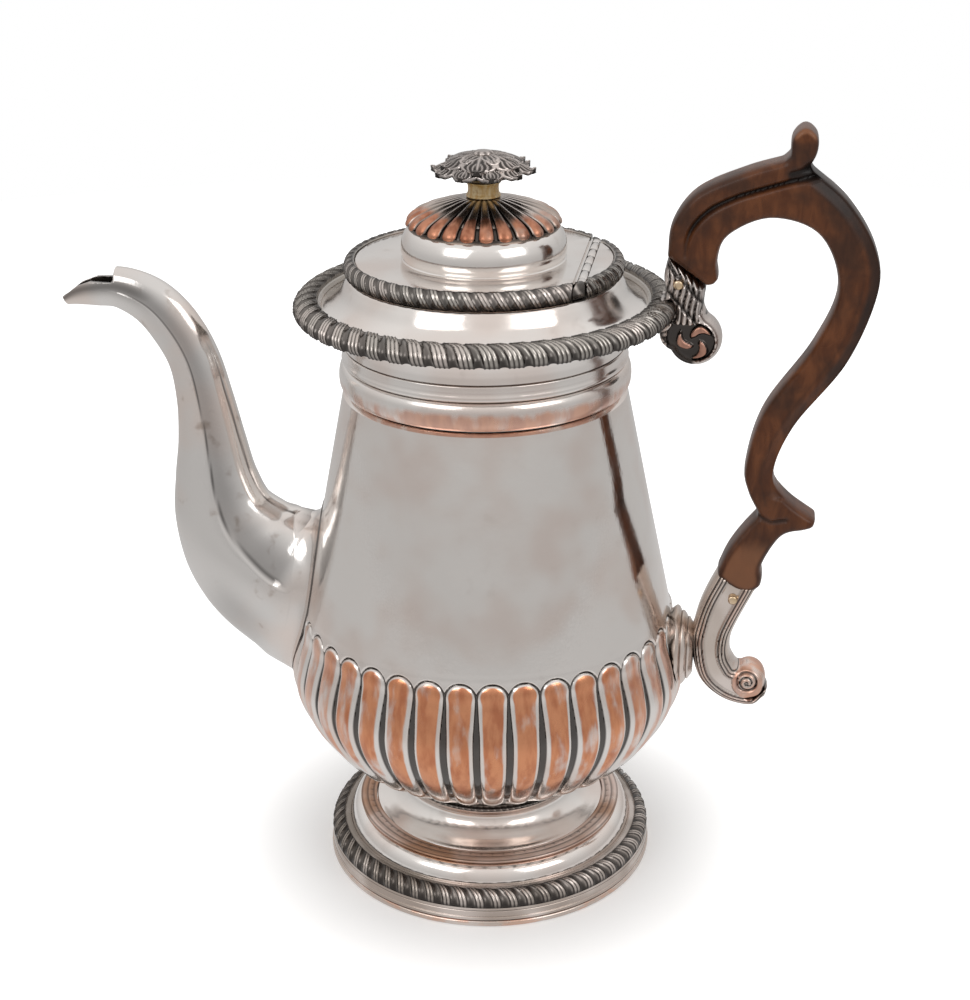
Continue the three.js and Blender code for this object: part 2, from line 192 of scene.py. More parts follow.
# ---- meshes ----
def mesh_piece(name, points, faces, attributes=None, crease=35):
    """A smooth-shaded object from points in millimetres. A closed mesh is turned to face outwards."""
    points = np.asarray(points, float).reshape(-1, 3)
    faces = [list(face) for face in faces]
    fan = np.array([(f[0], f[i], f[i + 1]) for f in faces for i in range(1, len(f) - 1)])
    a, b, c = (points[fan[:, k]] for k in range(3))
    if np.einsum("ij,ij->i", a, np.cross(b, c)).sum() < 0:
        faces = [face[::-1] for face in faces]
    mesh = bpy.data.meshes.new(name)
    mesh.from_pydata((points * MM + AXIS).tolist(), [], faces)
    for key, values in (attributes or {}).items():
        layer = mesh.attributes.new(key, "FLOAT", "POINT")
        layer.data.foreach_set("value", np.asarray(values, np.float32).ravel())
    mesh.shade_smooth()
    mesh.set_sharp_from_angle(angle=math.radians(crease))
    piece = bpy.data.objects.new(name, mesh)
    bpy.context.scene.collection.objects.link(piece)
    return piece


def grid_faces(rows, columns, wrap_rows=True, wrap_columns=True, caps=False):
    index = np.arange(rows * columns).reshape(rows, columns)
    ends = [index[:, 0].tolist(), index[:, -1][::-1].tolist()]
    if wrap_rows:
        index = np.vstack([index, index[:1]])
    if wrap_columns:
        index = np.hstack([index, index[:, :1]])
    quads = np.stack([index[:-1, :-1], index[1:, :-1], index[1:, 1:], index[:-1, 1:]], -1)
    return quads.reshape(-1, 4).tolist() + (ends if caps else [])


def revolve(name, radius, height, angle, whole=True, crease=35, **attributes):
    """A closed outline turned about the pot's axis. The arrays broadcast to outline x columns."""
    radius, height, angle = np.broadcast_arrays(radius, height, angle)
    points = np.stack([radius * np.cos(angle), radius * np.sin(angle), height], -1)
    shown = {key: np.broadcast_to(value, radius.shape) for key, value in attributes.items()}
    faces = grid_faces(*radius.shape, wrap_columns=whole, caps=not whole)
    return mesh_piece(name, points, faces, shown, crease)


def full_turn(columns=PLAIN_COLUMNS):
    return np.linspace(0, TAU, columns, endpoint=False)[None, :]


def turned(name, outline, columns=PLAIN_COLUMNS, crease=35, **attributes):
    """A plain turned piece from a closed outline of [radius, height] points."""
    outline = np.asarray(outline, float)
    return revolve(name, outline[:, :1], outline[:, 1:], full_turn(columns), crease=crease, **attributes)


def cross_turned(name, x, z, outline, columns=48, crease=35):
    """A piece turned about a line along y, from a closed outline of [radius, y] points."""
    outline = np.asarray(outline, float)
    radius, y, angle = np.broadcast_arrays(outline[:, :1], outline[:, 1:], full_turn(columns))
    points = np.stack([x + radius * np.cos(angle), y, z + radius * np.sin(angle)], -1)
    return mesh_piece(name, points, grid_faces(*radius.shape), crease=crease)


def arc_between(outline, limit, columns, keep_far):
    """Angles for each outline point on one side of the plane x = limit."""
    start = np.arccos(np.clip(limit / outline[:, :1], -1, 1))
    share = np.linspace(0, 1, columns)[None, :]
    return start + (TAU - 2 * start) * share if keep_far else -start + 2 * start * share


def border(name, worked, plain, count, depth, slant, lobe, per, rows, reeds=2, bend=0.0, limit=None,
           keep_far=True):
    """A ring whose worked face carries slanted lobes with fine reeds between them.

    lobe is the share of each repeat that its lobe takes, and per is the number of columns in a repeat.
    """
    face = spline(worked, rows)
    outline = np.vstack([face, np.asarray(plain, float)])
    on_face = np.concatenate([np.ones(rows), np.zeros(len(plain))])[:, None]
    share = np.concatenate([np.linspace(0, 1, rows), np.zeros(len(plain))])[:, None]
    if limit is None:
        angle = np.broadcast_to(full_turn(count * per), (len(outline), count * per))
    else:
        start = math.acos(limit / outline[:, 0].mean())
        part = (TAU - 2 * start if keep_far else 2 * start) / TAU
        angle = arc_between(outline, limit, int(count * per * part), keep_far)
    phase = (count * angle / TAU + slant * share + bend * np.sin(math.pi * share)) % 1
    lobes, lines = ridge(phase, 0, lobe), 0 * phase
    step = (1 - lobe) / max(reeds, 1)
    for k in range(reeds):
        lines = np.maximum(lines, ridge(phase, lobe + k * step, lobe + (k + 1) * step))
    ends = np.clip(np.sin(math.pi * (0.03 + 0.94 * share)), 0, 1) ** 0.3
    height = np.maximum(lobes, REED_HEIGHT * lines) * ends
    # the lobes' middles are painted darker than their edges and the reeds kept light: painted shade and
    # highlight; the low gaps between them darken as patina and painted shade
    look = np.maximum(lobes * (1 - 0.5 * ridge(phase, 0.1 * lobe, 0.8 * lobe)), lines) * ends
    relief = np.where(on_face > 0, look, 0.8)
    return revolve(name, *pushed(outline, -depth * (1 - height) * on_face), angle, whole=limit is None,
                   relief=relief, wear=relief * smooth_step(share, 0.2, 0.8))


def capsule_ring(angle, along, radius, count, fill, start, end, power, turn=0.0):
    """Height, from 0 to 1, of a ring of round-ended lobes along an outline, and the gap outside them."""
    period = TAU / count
    across = ((angle + turn) % period - period / 2) * radius
    half = fill * radius * period / 2
    beyond = np.maximum(start + half - along, 0) + np.maximum(along - (end - half), 0)
    distance = np.hypot(across, beyond) / half
    return np.clip(1 - distance**power, 0, 1) ** 0.5, (distance - 1) * half


def along_of(outline):
    """How far along an outline each of its points is."""
    steps = np.linalg.norm(np.diff(outline, axis=0), axis=1)
    return np.concatenate([[0], np.cumsum(steps)])[:, None]


# ---- materials ----
class Nodes:
    """A short way to write the node tree of a material or a world."""

    def __init__(self, owner):
        self.owner = owner
        self.owner.use_nodes = True
        self.tree = self.owner.node_tree
        self.tree.nodes.clear()
        self.coordinates = self.add("ShaderNodeTexCoord").outputs
        self.place = self.coordinates["Object"]

    def add(self, kind, inputs=None, **settings):
        made = self.tree.nodes.new(kind)
        for key, value in settings.items():
            setattr(made, key, value)
        for socket, value in (inputs or {}).items():
            if isinstance(value, bpy.types.NodeSocket):
                self.tree.links.new(value, made.inputs[socket])
            else:
                made.inputs[socket].default_value = value
        return made

    def noise(self, size, detail=3.0, stretch=(1, 1, 1), distortion=0.0):
        """Noise whose blotches are about size millimetres across."""
        scale = [1 / (size * MM * s) for s in stretch]
        spot = self.add("ShaderNodeMapping", {"Vector": self.place, "Scale": scale}).outputs[0]
        settings = {"Vector": spot, "Scale": 1.0, "Detail": detail, "Distortion": distortion}
        return self.add("ShaderNodeTexNoise", settings).outputs["Fac"]

    def span(self, value, low, high, to_low=0.0, to_high=1.0):
        settings = {"Value": value, "From Min": low, "From Max": high, "To Min": to_low, "To Max": to_high}
        return self.add("ShaderNodeMapRange", settings, interpolation_type="SMOOTHSTEP").outputs[0]

    def math(self, operation, a, b):
        return self.add("ShaderNodeMath", {0: a, 1: b}, operation=operation).outputs[0]

    def mix(self, share, a, b):
        colours = {"Fac": share, "Color1": a, "Color2": b}
        return self.add("ShaderNodeMixRGB", colours).outputs[0]

    def over(self, colour, above, source, low, high, most=1.0):
        """The colour with another over it, more of it where the source is higher."""
        return self.mix(self.span(source, low, high, 0.0, most), colour, above)

    def layer(self, name):
        return self.add("ShaderNodeAttribute", attribute_name=name).outputs["Fac"]

    def bump(self, height, depth):
        """A normal from a height. depth is in millimetres."""
        return self.add("ShaderNodeBump", {"Height": height, "Distance": depth * MM}).outputs[0]

    def finish(self, colour, roughness, normal=None, metallic=1.0, coat=0.0, specular=0.5):
        links = {"Base Color": colour, "Roughness": roughness, "Metallic": metallic, "Coat Weight": coat,
                 "Specular IOR Level": specular}
        if normal is not None:
            links["Normal"] = normal
        shader = self.add("ShaderNodeBsdfPrincipled", links)
        self.add("ShaderNodeOutputMaterial", {"Surface": shader.outputs[0]})
        return self.owner


def rgb(r, g, b):
    """A colour from its 0-255 screen values."""
    return (*(((v / 255 + 0.055) / 1.055) ** 2.4 for v in (r, g, b)), 1.0)


BRIGHT = rgb(238, 233, 229)
PINKISH = rgb(231, 219, 212)
COPPER = (rgb(228, 154, 110), rgb(198, 120, 80))
OLD_COPPER = (rgb(205, 142, 112), rgb(158, 98, 72))
# near-black for patina in hollows and for painted shade
TARNISH_AND_SHADE = rgb(58, 54, 52)
STAIN = rgb(150, 128, 110)


def metal(name, tone=BRIGHT, rough=(0.1, 0.22), tarnish_and_shade=0.0, copper=0.0, patchy=0.0, brushed=0.0, stain=0.15,
          hollow=(0.15, 0.7), worn=COPPER):
    """Old silver plate: pinkish casts, dark where relief is low (patina in hollows and painted shade in
    grooves, creases and on lobe middles), copper showing through by wear.
    """
    n = Nodes(bpy.data.materials.new(name))
    colour = n.over(tone, PINKISH, n.noise(28, 2), 0.42, 0.68)
    colour = n.over(colour, STAIN, n.noise(7, 5), 0.6, 0.78, stain)
    if copper:
        grain = n.span(n.noise(6, 5, (1, 1, 3)), 0.3, 0.6, 0.5, 1.0)
        share = n.math("MULTIPLY", n.layer("wear"), grain)
        deep = n.over(*worn, n.noise(3, 4, (1, 1, 4)), 0.35, 0.7)
        colour = n.over(colour, deep, share, 0.22, 0.75, copper)
    if patchy:
        colour = n.over(colour, worn[0], n.noise(9, 3, (1, 1, 0.4)), 0.5, 0.62, patchy)
    # low relief mixes in the near-black: patina in hollows, and painted shade in grooves, creases, lobe
    # middles and undersides
    if tarnish_and_shade:
        colour = n.mix(n.span(n.layer("relief"), *hollow, tarnish_and_shade, 0.0), colour, TARNISH_AND_SHADE)
    roughness = n.span(n.noise(11, 4), 0.3, 0.7, *rough)
    if copper:
        roughness = n.math("ADD", roughness, n.span(share, 0.22, 0.75, 0.0, 0.1))
    surface = n.noise(2.6, 2)
    if brushed:
        surface = n.math("ADD", surface, n.noise(0.7, 2, (1, 1, 60)))
    return n.finish(colour, roughness, n.bump(surface, 0.012 + 0.012 * brushed))


def wood():
    """Dark polished fruitwood, lighter where it is worn: at the thumb rest and at the lower end."""
    n = Nodes(bpy.data.materials.new("fruitwood"))
    grain = n.noise(3.5, 5, (1, 1, 3), 0.8)
    broad = n.noise(14, 3)
    colour = n.over(rgb(80, 43, 22), rgb(106, 62, 35), grain, 0.3, 0.7)
    colour = n.over(colour, rgb(50, 31, 22), broad, 0.42, 0.7, 0.75)
    # near black where the relief is low: painted shade in the handle's groove and roots; the back edge and
    # lower part are darker too
    colour = n.mix(n.span(n.layer("relief"), 0.0, 0.95, 0.97, 0.0), colour, rgb(24, 20, 19))
    colour = n.over(colour, rgb(148, 100, 70), n.layer("wear"), 0.2, 0.9, 0.62)
    pores = n.noise(0.5, 2, (1, 1, 9))
    roughness = n.span(broad, 0.3, 0.7, 0.26, 0.38)
    return n.finish(colour, roughness, n.bump(pores, 0.02), metallic=0.0, coat=0.06, specular=0.25)


def horn():
    """The pale yellow insulator, streaked along its length."""
    n = Nodes(bpy.data.materials.new("horn"))
    streak = n.noise(1.3, 4, (1, 1, 8))
    colour = n.over(rgb(190, 148, 78), rgb(214, 190, 142), streak, 0.35, 0.65)
    colour = n.over(colour, rgb(160, 110, 52), n.noise(2.5, 3), 0.55, 0.7, 0.5)
    return n.finish(colour, 0.35, n.bump(streak, 0.03), metallic=0.0, coat=0.3)


MATERIALS = {
    "polished": metal("polished_silver", stain=0.12),
    "body": metal("body_silver", brushed=1.0, rough=(0.08, 0.15), stain=0.06),
    "bowl": metal("bowl_plate", tarnish_and_shade=0.9, copper=0.95, brushed=1.0, rough=(0.1, 0.18), stain=0.1,
                  hollow=(0.08, 0.42)),
    "cap": metal("cap_plate", tone=rgb(176, 162, 152), tarnish_and_shade=0.92, copper=0.95, rough=(0.18, 0.3),
                 hollow=(0.12, 0.62), worn=OLD_COPPER),
    "torus": metal("torus_plate", copper=0.6, brushed=0.5, rough=(0.16, 0.26)),
    "step": metal("step_plate", tone=rgb(172, 142, 120), tarnish_and_shade=0.85, copper=0.2, rough=(0.2, 0.32)),
    "border": metal("border_silver", tone=rgb(196, 190, 183), tarnish_and_shade=0.96, rough=(0.18, 0.3),
                    hollow=(0.3, 1.0)),
    # a darker copy of the border silver, used on the foot's border
    "dark_border": metal("old_border_silver", tone=rgb(160, 150, 141), tarnish_and_shade=0.97, rough=(0.2, 0.32),
                        hollow=(0.35, 1.0)),
    "band": metal("band_silver", tone=rgb(180, 166, 156), tarnish_and_shade=0.7, rough=(0.14, 0.24), stain=0.35),
    "foliage": metal("foliage_silver", tone=rgb(188, 180, 176), tarnish_and_shade=0.95, copper=0.8, rough=(0.18, 0.3),
                     hollow=(0.25, 1.0), worn=OLD_COPPER),
    "copper": metal("copper_edge", tone=rgb(205, 190, 180), patchy=0.35, rough=(0.16, 0.28)),
    "spout": metal("spout_silver", tone=rgb(228, 224, 221), tarnish_and_shade=0.85, brushed=0.4, stain=0.5,
                   hollow=(0.1, 1.0)),
    "socket": metal("socket_silver", tone=rgb(205, 192, 182), tarnish_and_shade=0.92, copper=0.75, rough=(0.16, 0.28),
                    stain=0.5),
    "brass": metal("brass", tone=rgb(214, 180, 122), rough=(0.2, 0.3)),
    "wood": wood(),
    "horn": horn(),
}


# ---- placing ----
def put(piece, body, material, slot, *nodes):
    """Gives a piece its material, the body it rides on and the CAD nodes it stands for."""
    piece.data.materials.clear()
    piece.data.materials.append(MATERIALS[material])
    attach(piece, body)
    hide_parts(*nodes)


def put_plate(name, node, points, count, thickness=SHEET, body="pot"):
    """A plain turned piece of polished sheet, from points on its outer face."""
    put(turned(name, sheet(spline(points, count), thickness)), body, "polished", "silver", node)


# ---- foot ----
def build_foot():
    wire = rounded([[57.4, 0], [59.6, 0], [60, 1.1], [59.6, 2.2], [57.4, 2.2]], 0.8)
    put(turned("foot_wire_edge", wire, wear=0.8), "pot", "copper", "copper_edge", "foot_wire")
    band = rounded([[57.9, 2.5], [59.5, 2.5], [59.5, 3.5], [59.05, 3.75], [59.4, 4], [59.25, 5.9],
                    [58.85, 6.15], [59.2, 6.4], [59.1, 7.3], [57.6, 7.3]], 0.15, 2)
    lined = turned("foot_band_lined", band, relief=smooth_step(band[:, :1], 58.9, 59.25))
    put(lined, "pot", "band", "silver", "foot_band")
    worked = [[54.7, 12.2], [56.3, 11.8], [57.7, 10.7], [58.5, 9.2], [58.6, 7.8]]
    bead = spline([[58.1, 7.6], [52.6, 7.8], [52.1, 11.2], [52.4, 12.3], [53.5, 12.7], [54.5, 12.3]], 18)
    lobed = border("foot_border_lobed", worked, bead, FOOT_LOBES, depth=0.9, slant=-0.65, lobe=0.56, per=22,
                   rows=18, bend=-0.2)
    put(lobed, "pot", "dark_border", "dark_silver", "foot_border")
    cushion = [[57.2, 7.2], [52.9, 7.3], [52.7, 9.5], [51.9, 14], [49.9, 17.2], [46.5, 18.3], [41.8, 18.3]]
    put_plate("foot_cushion", "foot_dome", cushion, 44)
    build_step_ring()
    stem = [[42.1, 18.7], [42, 19.5], [39.6, 20], [35.6, 21.4], [32.4, 24.2], [31.2, 27], [32, 29.5]]
    put_plate("foot_stem", "foot_neck", stem, 36)
    collar = spline([[32.3, 29.95], [32.9, 30.3], [33, 30.9], [32.7, 31.25]], 8)
    beaded = border("foot_collar_beaded", collar, [[29.6, 31.3], [29.6, 29.9]], COLLAR_BEADS, depth=0.35,
                    slant=0.4, lobe=1.0, reeds=0, per=8, rows=8)
    put(beaded, "pot", "border", "dark_silver", "foot_collar")


def build_step_ring():
    """The reeded copper ring that the cushion rises to."""
    angle = full_turn(720)
    face = spline([[48.3, 18.7], [48.4, 19.5], [46.6, 20], [44.6, 20], [42.5, 19.9]], 26)
    outline = np.vstack([face, [[42.5, 18.6], [48, 18.6]]])
    share = along_of(outline) / along_of(outline)[len(face) - 1]
    lines = 0.5 + 0.5 * np.cos(TAU * 3 * share)
    notch = np.clip(np.cos(STEP_NOTCHES * angle), 0, 1) ** 6 * bell(share, 0.1, 0.72)
    relief = np.clip(lines - notch, 0, 1)
    inset = 0.22 * (1 - relief) * (share <= 1)
    ring = revolve("foot_step_reeded", *pushed(outline, -inset), angle, relief=0.35 + 0.65 * relief, wear=0.9)
    put(ring, "pot", "step", "worn_silver", "foot_step_ring")


# ---- body ----
def body_radius(z):
    """The radius of the body's outer face at a height."""
    profile = np.array(BOWL + TAPER)
    return np.interp(z, profile[:, 1], profile[:, 0])


def lobe_angles(count, fill, turn):
    """Column angles that follow the lobes, closer together at their edges."""
    edge = fill * np.array([0, 0.15, 0.3, 0.44, 0.56, 0.67, 0.77, 0.85, 0.92, 0.96, 1.0])
    groove = fill + (1 - fill) * np.array([0.25, 0.5, 0.75])
    half = np.concatenate([edge, groove])
    one = np.concatenate([-half[:0:-1], half, [1.0]])
    period = TAU / count
    starts = np.arange(count)[:, None] * period
    return (starts + period / 2 * (1 + one)[None, :] - turn).reshape(1, -1)


def bowl_outline():
    """The bowl's outline. Its first BOWL_ROWS points are its outer face, closer together towards the top."""
    curve = spline([*BOWL, TAPER[0]], 400)
    place = (1 - np.linspace(1, 0, BOWL_ROWS) ** 1.5) * (len(curve) - 1)
    outer = np.stack([np.interp(place, np.arange(len(curve)), column) for column in curve.T], 1)
    inner = (outer - WALL * normals_of(outer, closed=False) - [1.2, 0])[::-9]
    return joined(outer, inner[:-1], [[30, 34.5], [2, 34.5], [0.05, 34.5], [0.05, 33], [2, 33]])


def build_bowl():
    """The bowl with its ring of lobes: dark between them, and worn to copper along their middles."""
    outline = bowl_outline()
    angle = lobe_angles(BODY_LOBES, 0.88, LOBE_TURN)
    along = along_of(outline)
    heights, places = outline[:BOWL_ROWS, 1], along[:BOWL_ROWS, 0]
    first, last = np.interp(LOBE_FOOT, heights, places), np.interp(LOBE_TOP, heights, places)
    fill = 0.96 - 0.14 * smooth_step(last - along, 3, 22) + 0.08 * smooth_step(along, first + 12, first)
    height, gap = capsule_ring(angle, along, outline[:, :1], BODY_LOBES, fill, first, last, 2.1, LOBE_TURN)
    worked = np.arange(len(outline))[:, None] < BOWL_ROWS
    half = fill * math.pi * outline[:, :1] / BODY_LOBES
    ending = smooth_step(along, last - half - 0.5, last - half + 1.5)
    plain = smooth_step(gap, 0.3, 0.75) * ending
    near_top = smooth_step(along, last - 9, last - 1)
    deep = LOBE_DEPTH * smooth_step(along, first - 3, first + 12) * (1 - 0.55 * near_top)
    swell = 0.75 * height * near_top
    blend = 1 - smooth_step(along, last + 0.6, last + 1.2)
    move = np.where(worked, (swell - deep * (1 - height) * (1 - plain)) * blend, 0)
    # low relief between the lobes and round their ends darkens them: patina there and painted shade
    relief = np.where(worked & (along > first - 1.5), np.maximum(height, plain), 0.9)
    relief = np.maximum(relief, 1 - blend)
    inside = -gap - 0.7 * (1 - smooth_step(along, last - 7, last - 2))
    wear = smooth_step(inside, 0.0, 1.3) * smooth_step(along, first + 14, first + 30) * worked
    wear = wear * (0.36 + 0.64 * bell(turn_from(angle, -1.45), 0.95)) * (along <= last + 0.2)
    bowl = revolve("bowl_lobed", *pushed(outline, move), angle, crease=60, relief=relief, wear=wear)
    put(bowl, "pot", "bowl", "worn_silver", "lower_body")


def build_upper_body():
    inner = np.array([[45.4, 211], [45.4, 182], [47.3, 179.6], *[[r - WALL, z] for r, z in TAPER[1::-1]]])
    outer = [evenly(np.array(TAPER), 60), [[46.8, 181.2], [46.6, 182], [46.6, 211]]]
    put(turned("body_plain", joined(*outer, evenly(inner, 40))), "pot", "body", "silver", "upper_body")


def build_neck():
    torus = rounded([[46.9, 181.7], [48.3, 181.7], [49.6, 183.6], [49.9, 186.4], [49.5, 189.4], [48.3, 191.2],
                     [46.9, 191.2]], 1.6, 5)
    facing = 0.3 + 0.7 * bell(turn_from(full_turn(), -1.4), 1.1)
    ring = turned("neck_torus_worn", torus, wear=(1 - smooth_step(torus[:, 1:], 185.3, 190.3)) * facing)
    put(ring, "pot", "torus", "worn_silver", "neck_torus")
    moulding = rounded([[46.9, 191.5], [48.4, 191.5], [48.9, 192.7], [48.3, 194.2], [48.2, 196.9],
                        [46.9, 196.9]], 0.7)
    put(turned("neck_moulding_line", moulding), "pot", "polished", "silver", "neck_moulding")
    flare = [[47.9, 197.3], [48.1, 200.2], [49.2, 203.6], [52.6, 206.4], [60.2, 207.7]]
    put_plate("neck_flare_band", "neck_flare", flare, 40, 0.9)


def build_rim():
    dish = [[60.2, 210.4], [57.6, 210.5], [54.6, 211.1], [51.6, 212.5], [48.9, 215], [46.8, 218.4],
            [45.4, 220.4], [43.6, SEAT_TOP]]
    put_plate("rim_dish_deep", "rim_dish", dish, 60, 1.0)
    worked = [[56.9, 213], [58.7, 213.5], [60.9, 213.2], [62.5, 212], [RIM_RADIUS, 210.4], [62.7, 209]]
    bead = spline([[61, 208.4], [60.6, 210.2], [55.4, 210.7], [55, 211.7], [55.5, 212.7], [56.4, 212.6]], 18)
    gadroon = border("rim_border_gadroon", worked, bead, RIM_LOBES, depth=1.4, slant=-0.85, lobe=0.42,
                     reeds=3, per=30, rows=24, bend=-0.2)
    put(gadroon, "pot", "border", "dark_silver", "rim_border")
    put(mouth_wall(), "pot", "polished", "silver", "mouth_bezel")


def mouth_wall():
    """The wall that the lid closes on, lowered beside the hinge."""
    low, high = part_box("mouth_bezel")
    angle = full_turn(512)
    outside = MOUTH_RADIUS + MOUTH_WALL
    across = (MOUTH_RADIUS + outside) / 2 * np.cos(angle)
    top = np.where((across > MOUTH_NOTCH_X) & (across < FIXED_CUT_X + 0.3), SEAT_TOP, high.z / MM)
    radius = np.array([[MOUTH_RADIUS], [outside], [outside], [MOUTH_RADIUS]])
    height = np.vstack([np.full_like(top, low.z / MM)] * 2 + [top] * 2)
    return revolve("mouth_wall", radius, height, angle)


# ---- lid ----
LID_EDGE = [[44, 226.3], [45.2, 226.1], [46.2, 224.9], [46.5, 223.2], [45.9, 221.5]]


def chord_disc(name, inner, limit, keep_far):
    """The lid's flat top on one side of the hinge, with its straight edge."""
    low = LID_TOP - SHEET
    outline = rounded([[inner, low], [LID_RADIUS, low], [LID_RADIUS, LID_TOP], [inner, LID_TOP]], 0.35, 3)
    share = (outline[:, :1] - inner) / (LID_RADIUS - inner)
    if keep_far:
        angle = full_turn(512)
        beyond = np.cos(angle) * LID_RADIUS > limit
        near, far = inner, np.where(beyond, limit / np.maximum(np.cos(angle), 0.1), LID_RADIUS)
    else:
        start = math.acos(limit / LID_RADIUS)
        angle = np.linspace(-start, start, 90)[None, :] * 0.998
        near, far = limit / np.cos(angle), LID_RADIUS
    return revolve(name, near + (far - near) * share, outline[:, 1:], angle, whole=keep_far)


def build_lid():
    put(chord_disc("lid_top", 24.5, LID_CUT_X, True), "lid", "polished", "silver", "lid_plate")
    put(chord_disc("lid_top_fixed", 30, FIXED_CUT_X, False), "pot", "polished", "silver", "fixed_lid_segment")
    plain = [[45.3, 221], [43.3, 221.1], [43.3, 226.2]]
    rope = {"count": LID_LOBES, "depth": 0.6, "slant": -0.8, "lobe": 0.52, "per": 24, "rows": 18}
    turning = border("lid_border_rope", LID_EDGE, plain, limit=LID_CUT_X, **rope)
    put(turning, "lid", "border", "dark_silver", "lid_border")
    fixed_limit = HINGE_X + KNUCKLE_RADIUS + 0.05
    fixed = border("lid_border_rope_fixed", LID_EDGE, plain, limit=fixed_limit, keep_far=False, **rope)
    put(fixed, "pot", "border", "dark_silver", "fixed_border_segment")
    build_lid_bezel()
    dome = [[27.6, 226.05], [27.1, 226.6], [27.6, 228.2], [27.7, 230.4], [27.1, 233.2], [25.6, 235.9],
            [22.8, 237.9], [19.4, 239.2], [2, 243]]
    put_plate("lid_dome_cushion", "lid_dome", dome, 60, 1.0, "lid")
    build_cap()


def build_lid_bezel():
    """The lid's inner flange, open beside the hinge."""
    outline = np.array([[39.8, 217.6], [41.1, 217.6], [41.1, 224.5], [39.8, 224.5]])
    angle = arc_between(outline, BEZEL_CUT_X, 200, True)
    wall = revolve("lid_bezel_wall", outline[:, :1], outline[:, 1:], angle, whole=False)
    put(wall, "lid", "polished", "silver", "lid_bezel")


def build_cap():
    """The fluted cap on the lid's dome."""
    fill = 0.86
    outer = spline([[26.1, 236.3], [26.3, 237.6], [25.2, 239.6], [23, 241.4], [18.5, 243.2], [12, 245],
                    [7, 246.1], [2, 246.2]], 56)
    inner = [[2, 245.2], [12, 243.8], [20, 241.2], [24.6, 237.5], [25.1, 236.3]]
    outline = np.vstack([outer, evenly(np.array(inner), 14)])
    angle = lobe_angles(CAP_LOBES, fill, 0.0)
    along = along_of(outline)
    last = along[len(outer) - 1, 0]
    height, _ = capsule_ring(angle, along, outline[:, :1], CAP_LOBES, fill, 0.2, last, 2.0)
    worked = np.arange(len(outline))[:, None] < len(outer)
    inset = np.where(worked, LOBE_DEPTH * smooth_step(outline[:, :1], 5, 22) * (1 - height), 0)
    near_edge = smooth_step(outline[:, :1], 14, 22)
    ridge_line = 0.25 * smooth_step(height, 0.85, 1.0)
    relief = np.where(worked, height * (0.42 + ridge_line + 0.45 * smooth_step(outline[:, :1], 14, 23)), 0.5)
    facing = 0.3 + 0.7 * bell(turn_from(angle, -1.75), 1.1)
    wear = np.where(worked, 1.3 * smooth_step(height, 0.35, 0.7) * near_edge * facing, 0)
    cap = revolve("lid_cap_fluted", *pushed(outline, -inset), angle, crease=60, relief=relief, wear=wear)
    put(cap, "lid", "cap", "worn_silver", "lid_cap")


def build_finial():
    spool = spline([[2, 246.5], [5.6, 246.5], [5.2, 248], [5.1, 249.4], [5.3, 250.6], [5.8, 251.5],
                    [2, 251.5]], 60)
    put(turned("finial_spool_horn", spool, 96), "lid", "horn", "horn", "finial_spool")
    build_flower()
    angle = full_turn(96)
    button = spline([[0.05, 260.1], [3, 260.1], [3.3, 260.5], [2.9, 261.2], [1.6, 261.5], [0.05, 261.5]], 24)
    rays = 0.12 * np.cos(8 * angle) * smooth_step(button[:, :1], 1.8, 2.9)
    rayed = revolve("finial_button_rayed", button[:, :1] + rays, button[:, 1:], angle, relief=0.7 + 2 * rays)
    put(rayed, "lid", "foliage", "dark_silver", "finial_button")


def leaf(turn, start, end, top, drop, width):
    """Points and relief of one acanthus leaf that droops from top by drop, with a lobed, curled edge."""
    along = np.linspace(0, 1, LEAF_STEPS)[None, :]
    across = np.concatenate([np.linspace(-1, 1, LEAF_HALF_RING), np.linspace(1, -1, LEAF_HALF_RING)])[:, None]
    under = (np.arange(2 * LEAF_HALF_RING) >= LEAF_HALF_RING)[:, None]
    lobes = 1 - 0.26 * (1 - np.abs(np.sin(3.5 * math.pi * along)) ** 0.6) * smooth_step(along, 0.2, 0.4)
    half = width * np.sin(math.pi * (0.16 + 0.83 * along)) ** 0.5 * lobes
    away = np.abs(across)
    veins = (0.5 + 0.5 * np.cos(TAU * (3.5 * along - 3.0 * away + 0.25))) ** 1.4
    spine = bell(across, 0.1)
    curl = smooth_step(away, 0.72, 0.95)
    shape = np.maximum(np.maximum(spine, 0.9 * veins * smooth_step(away, 0.06, 0.2)), curl)
    out = start + (end - start) * along - 0.1 * (end - start) * away**2 * along
    tip = smooth_step(along, 0.84, 1.0)
    sag = top - drop * along**2.2 + 1.3 * tip - 1.1 * away**2.5 * (0.4 + 0.6 * along)
    thin = 0.9 * np.sqrt(np.clip(1 - away**2, 0, 1)) + 0.35
    height = np.where(under, sag - thin, sag + 0.5 * shape)
    side = half * across
    c, s = math.cos(turn), math.sin(turn)
    points = np.stack([out * c - side * s, out * s + side * c, height], -1)
    # undersides get a low relief that darkens them: painted shade under the leaf; the hollows between the
    # veins darken as patina and painted shade
    return points, np.where(under, 0.25, 0.12 + 0.88 * shape**1.2)


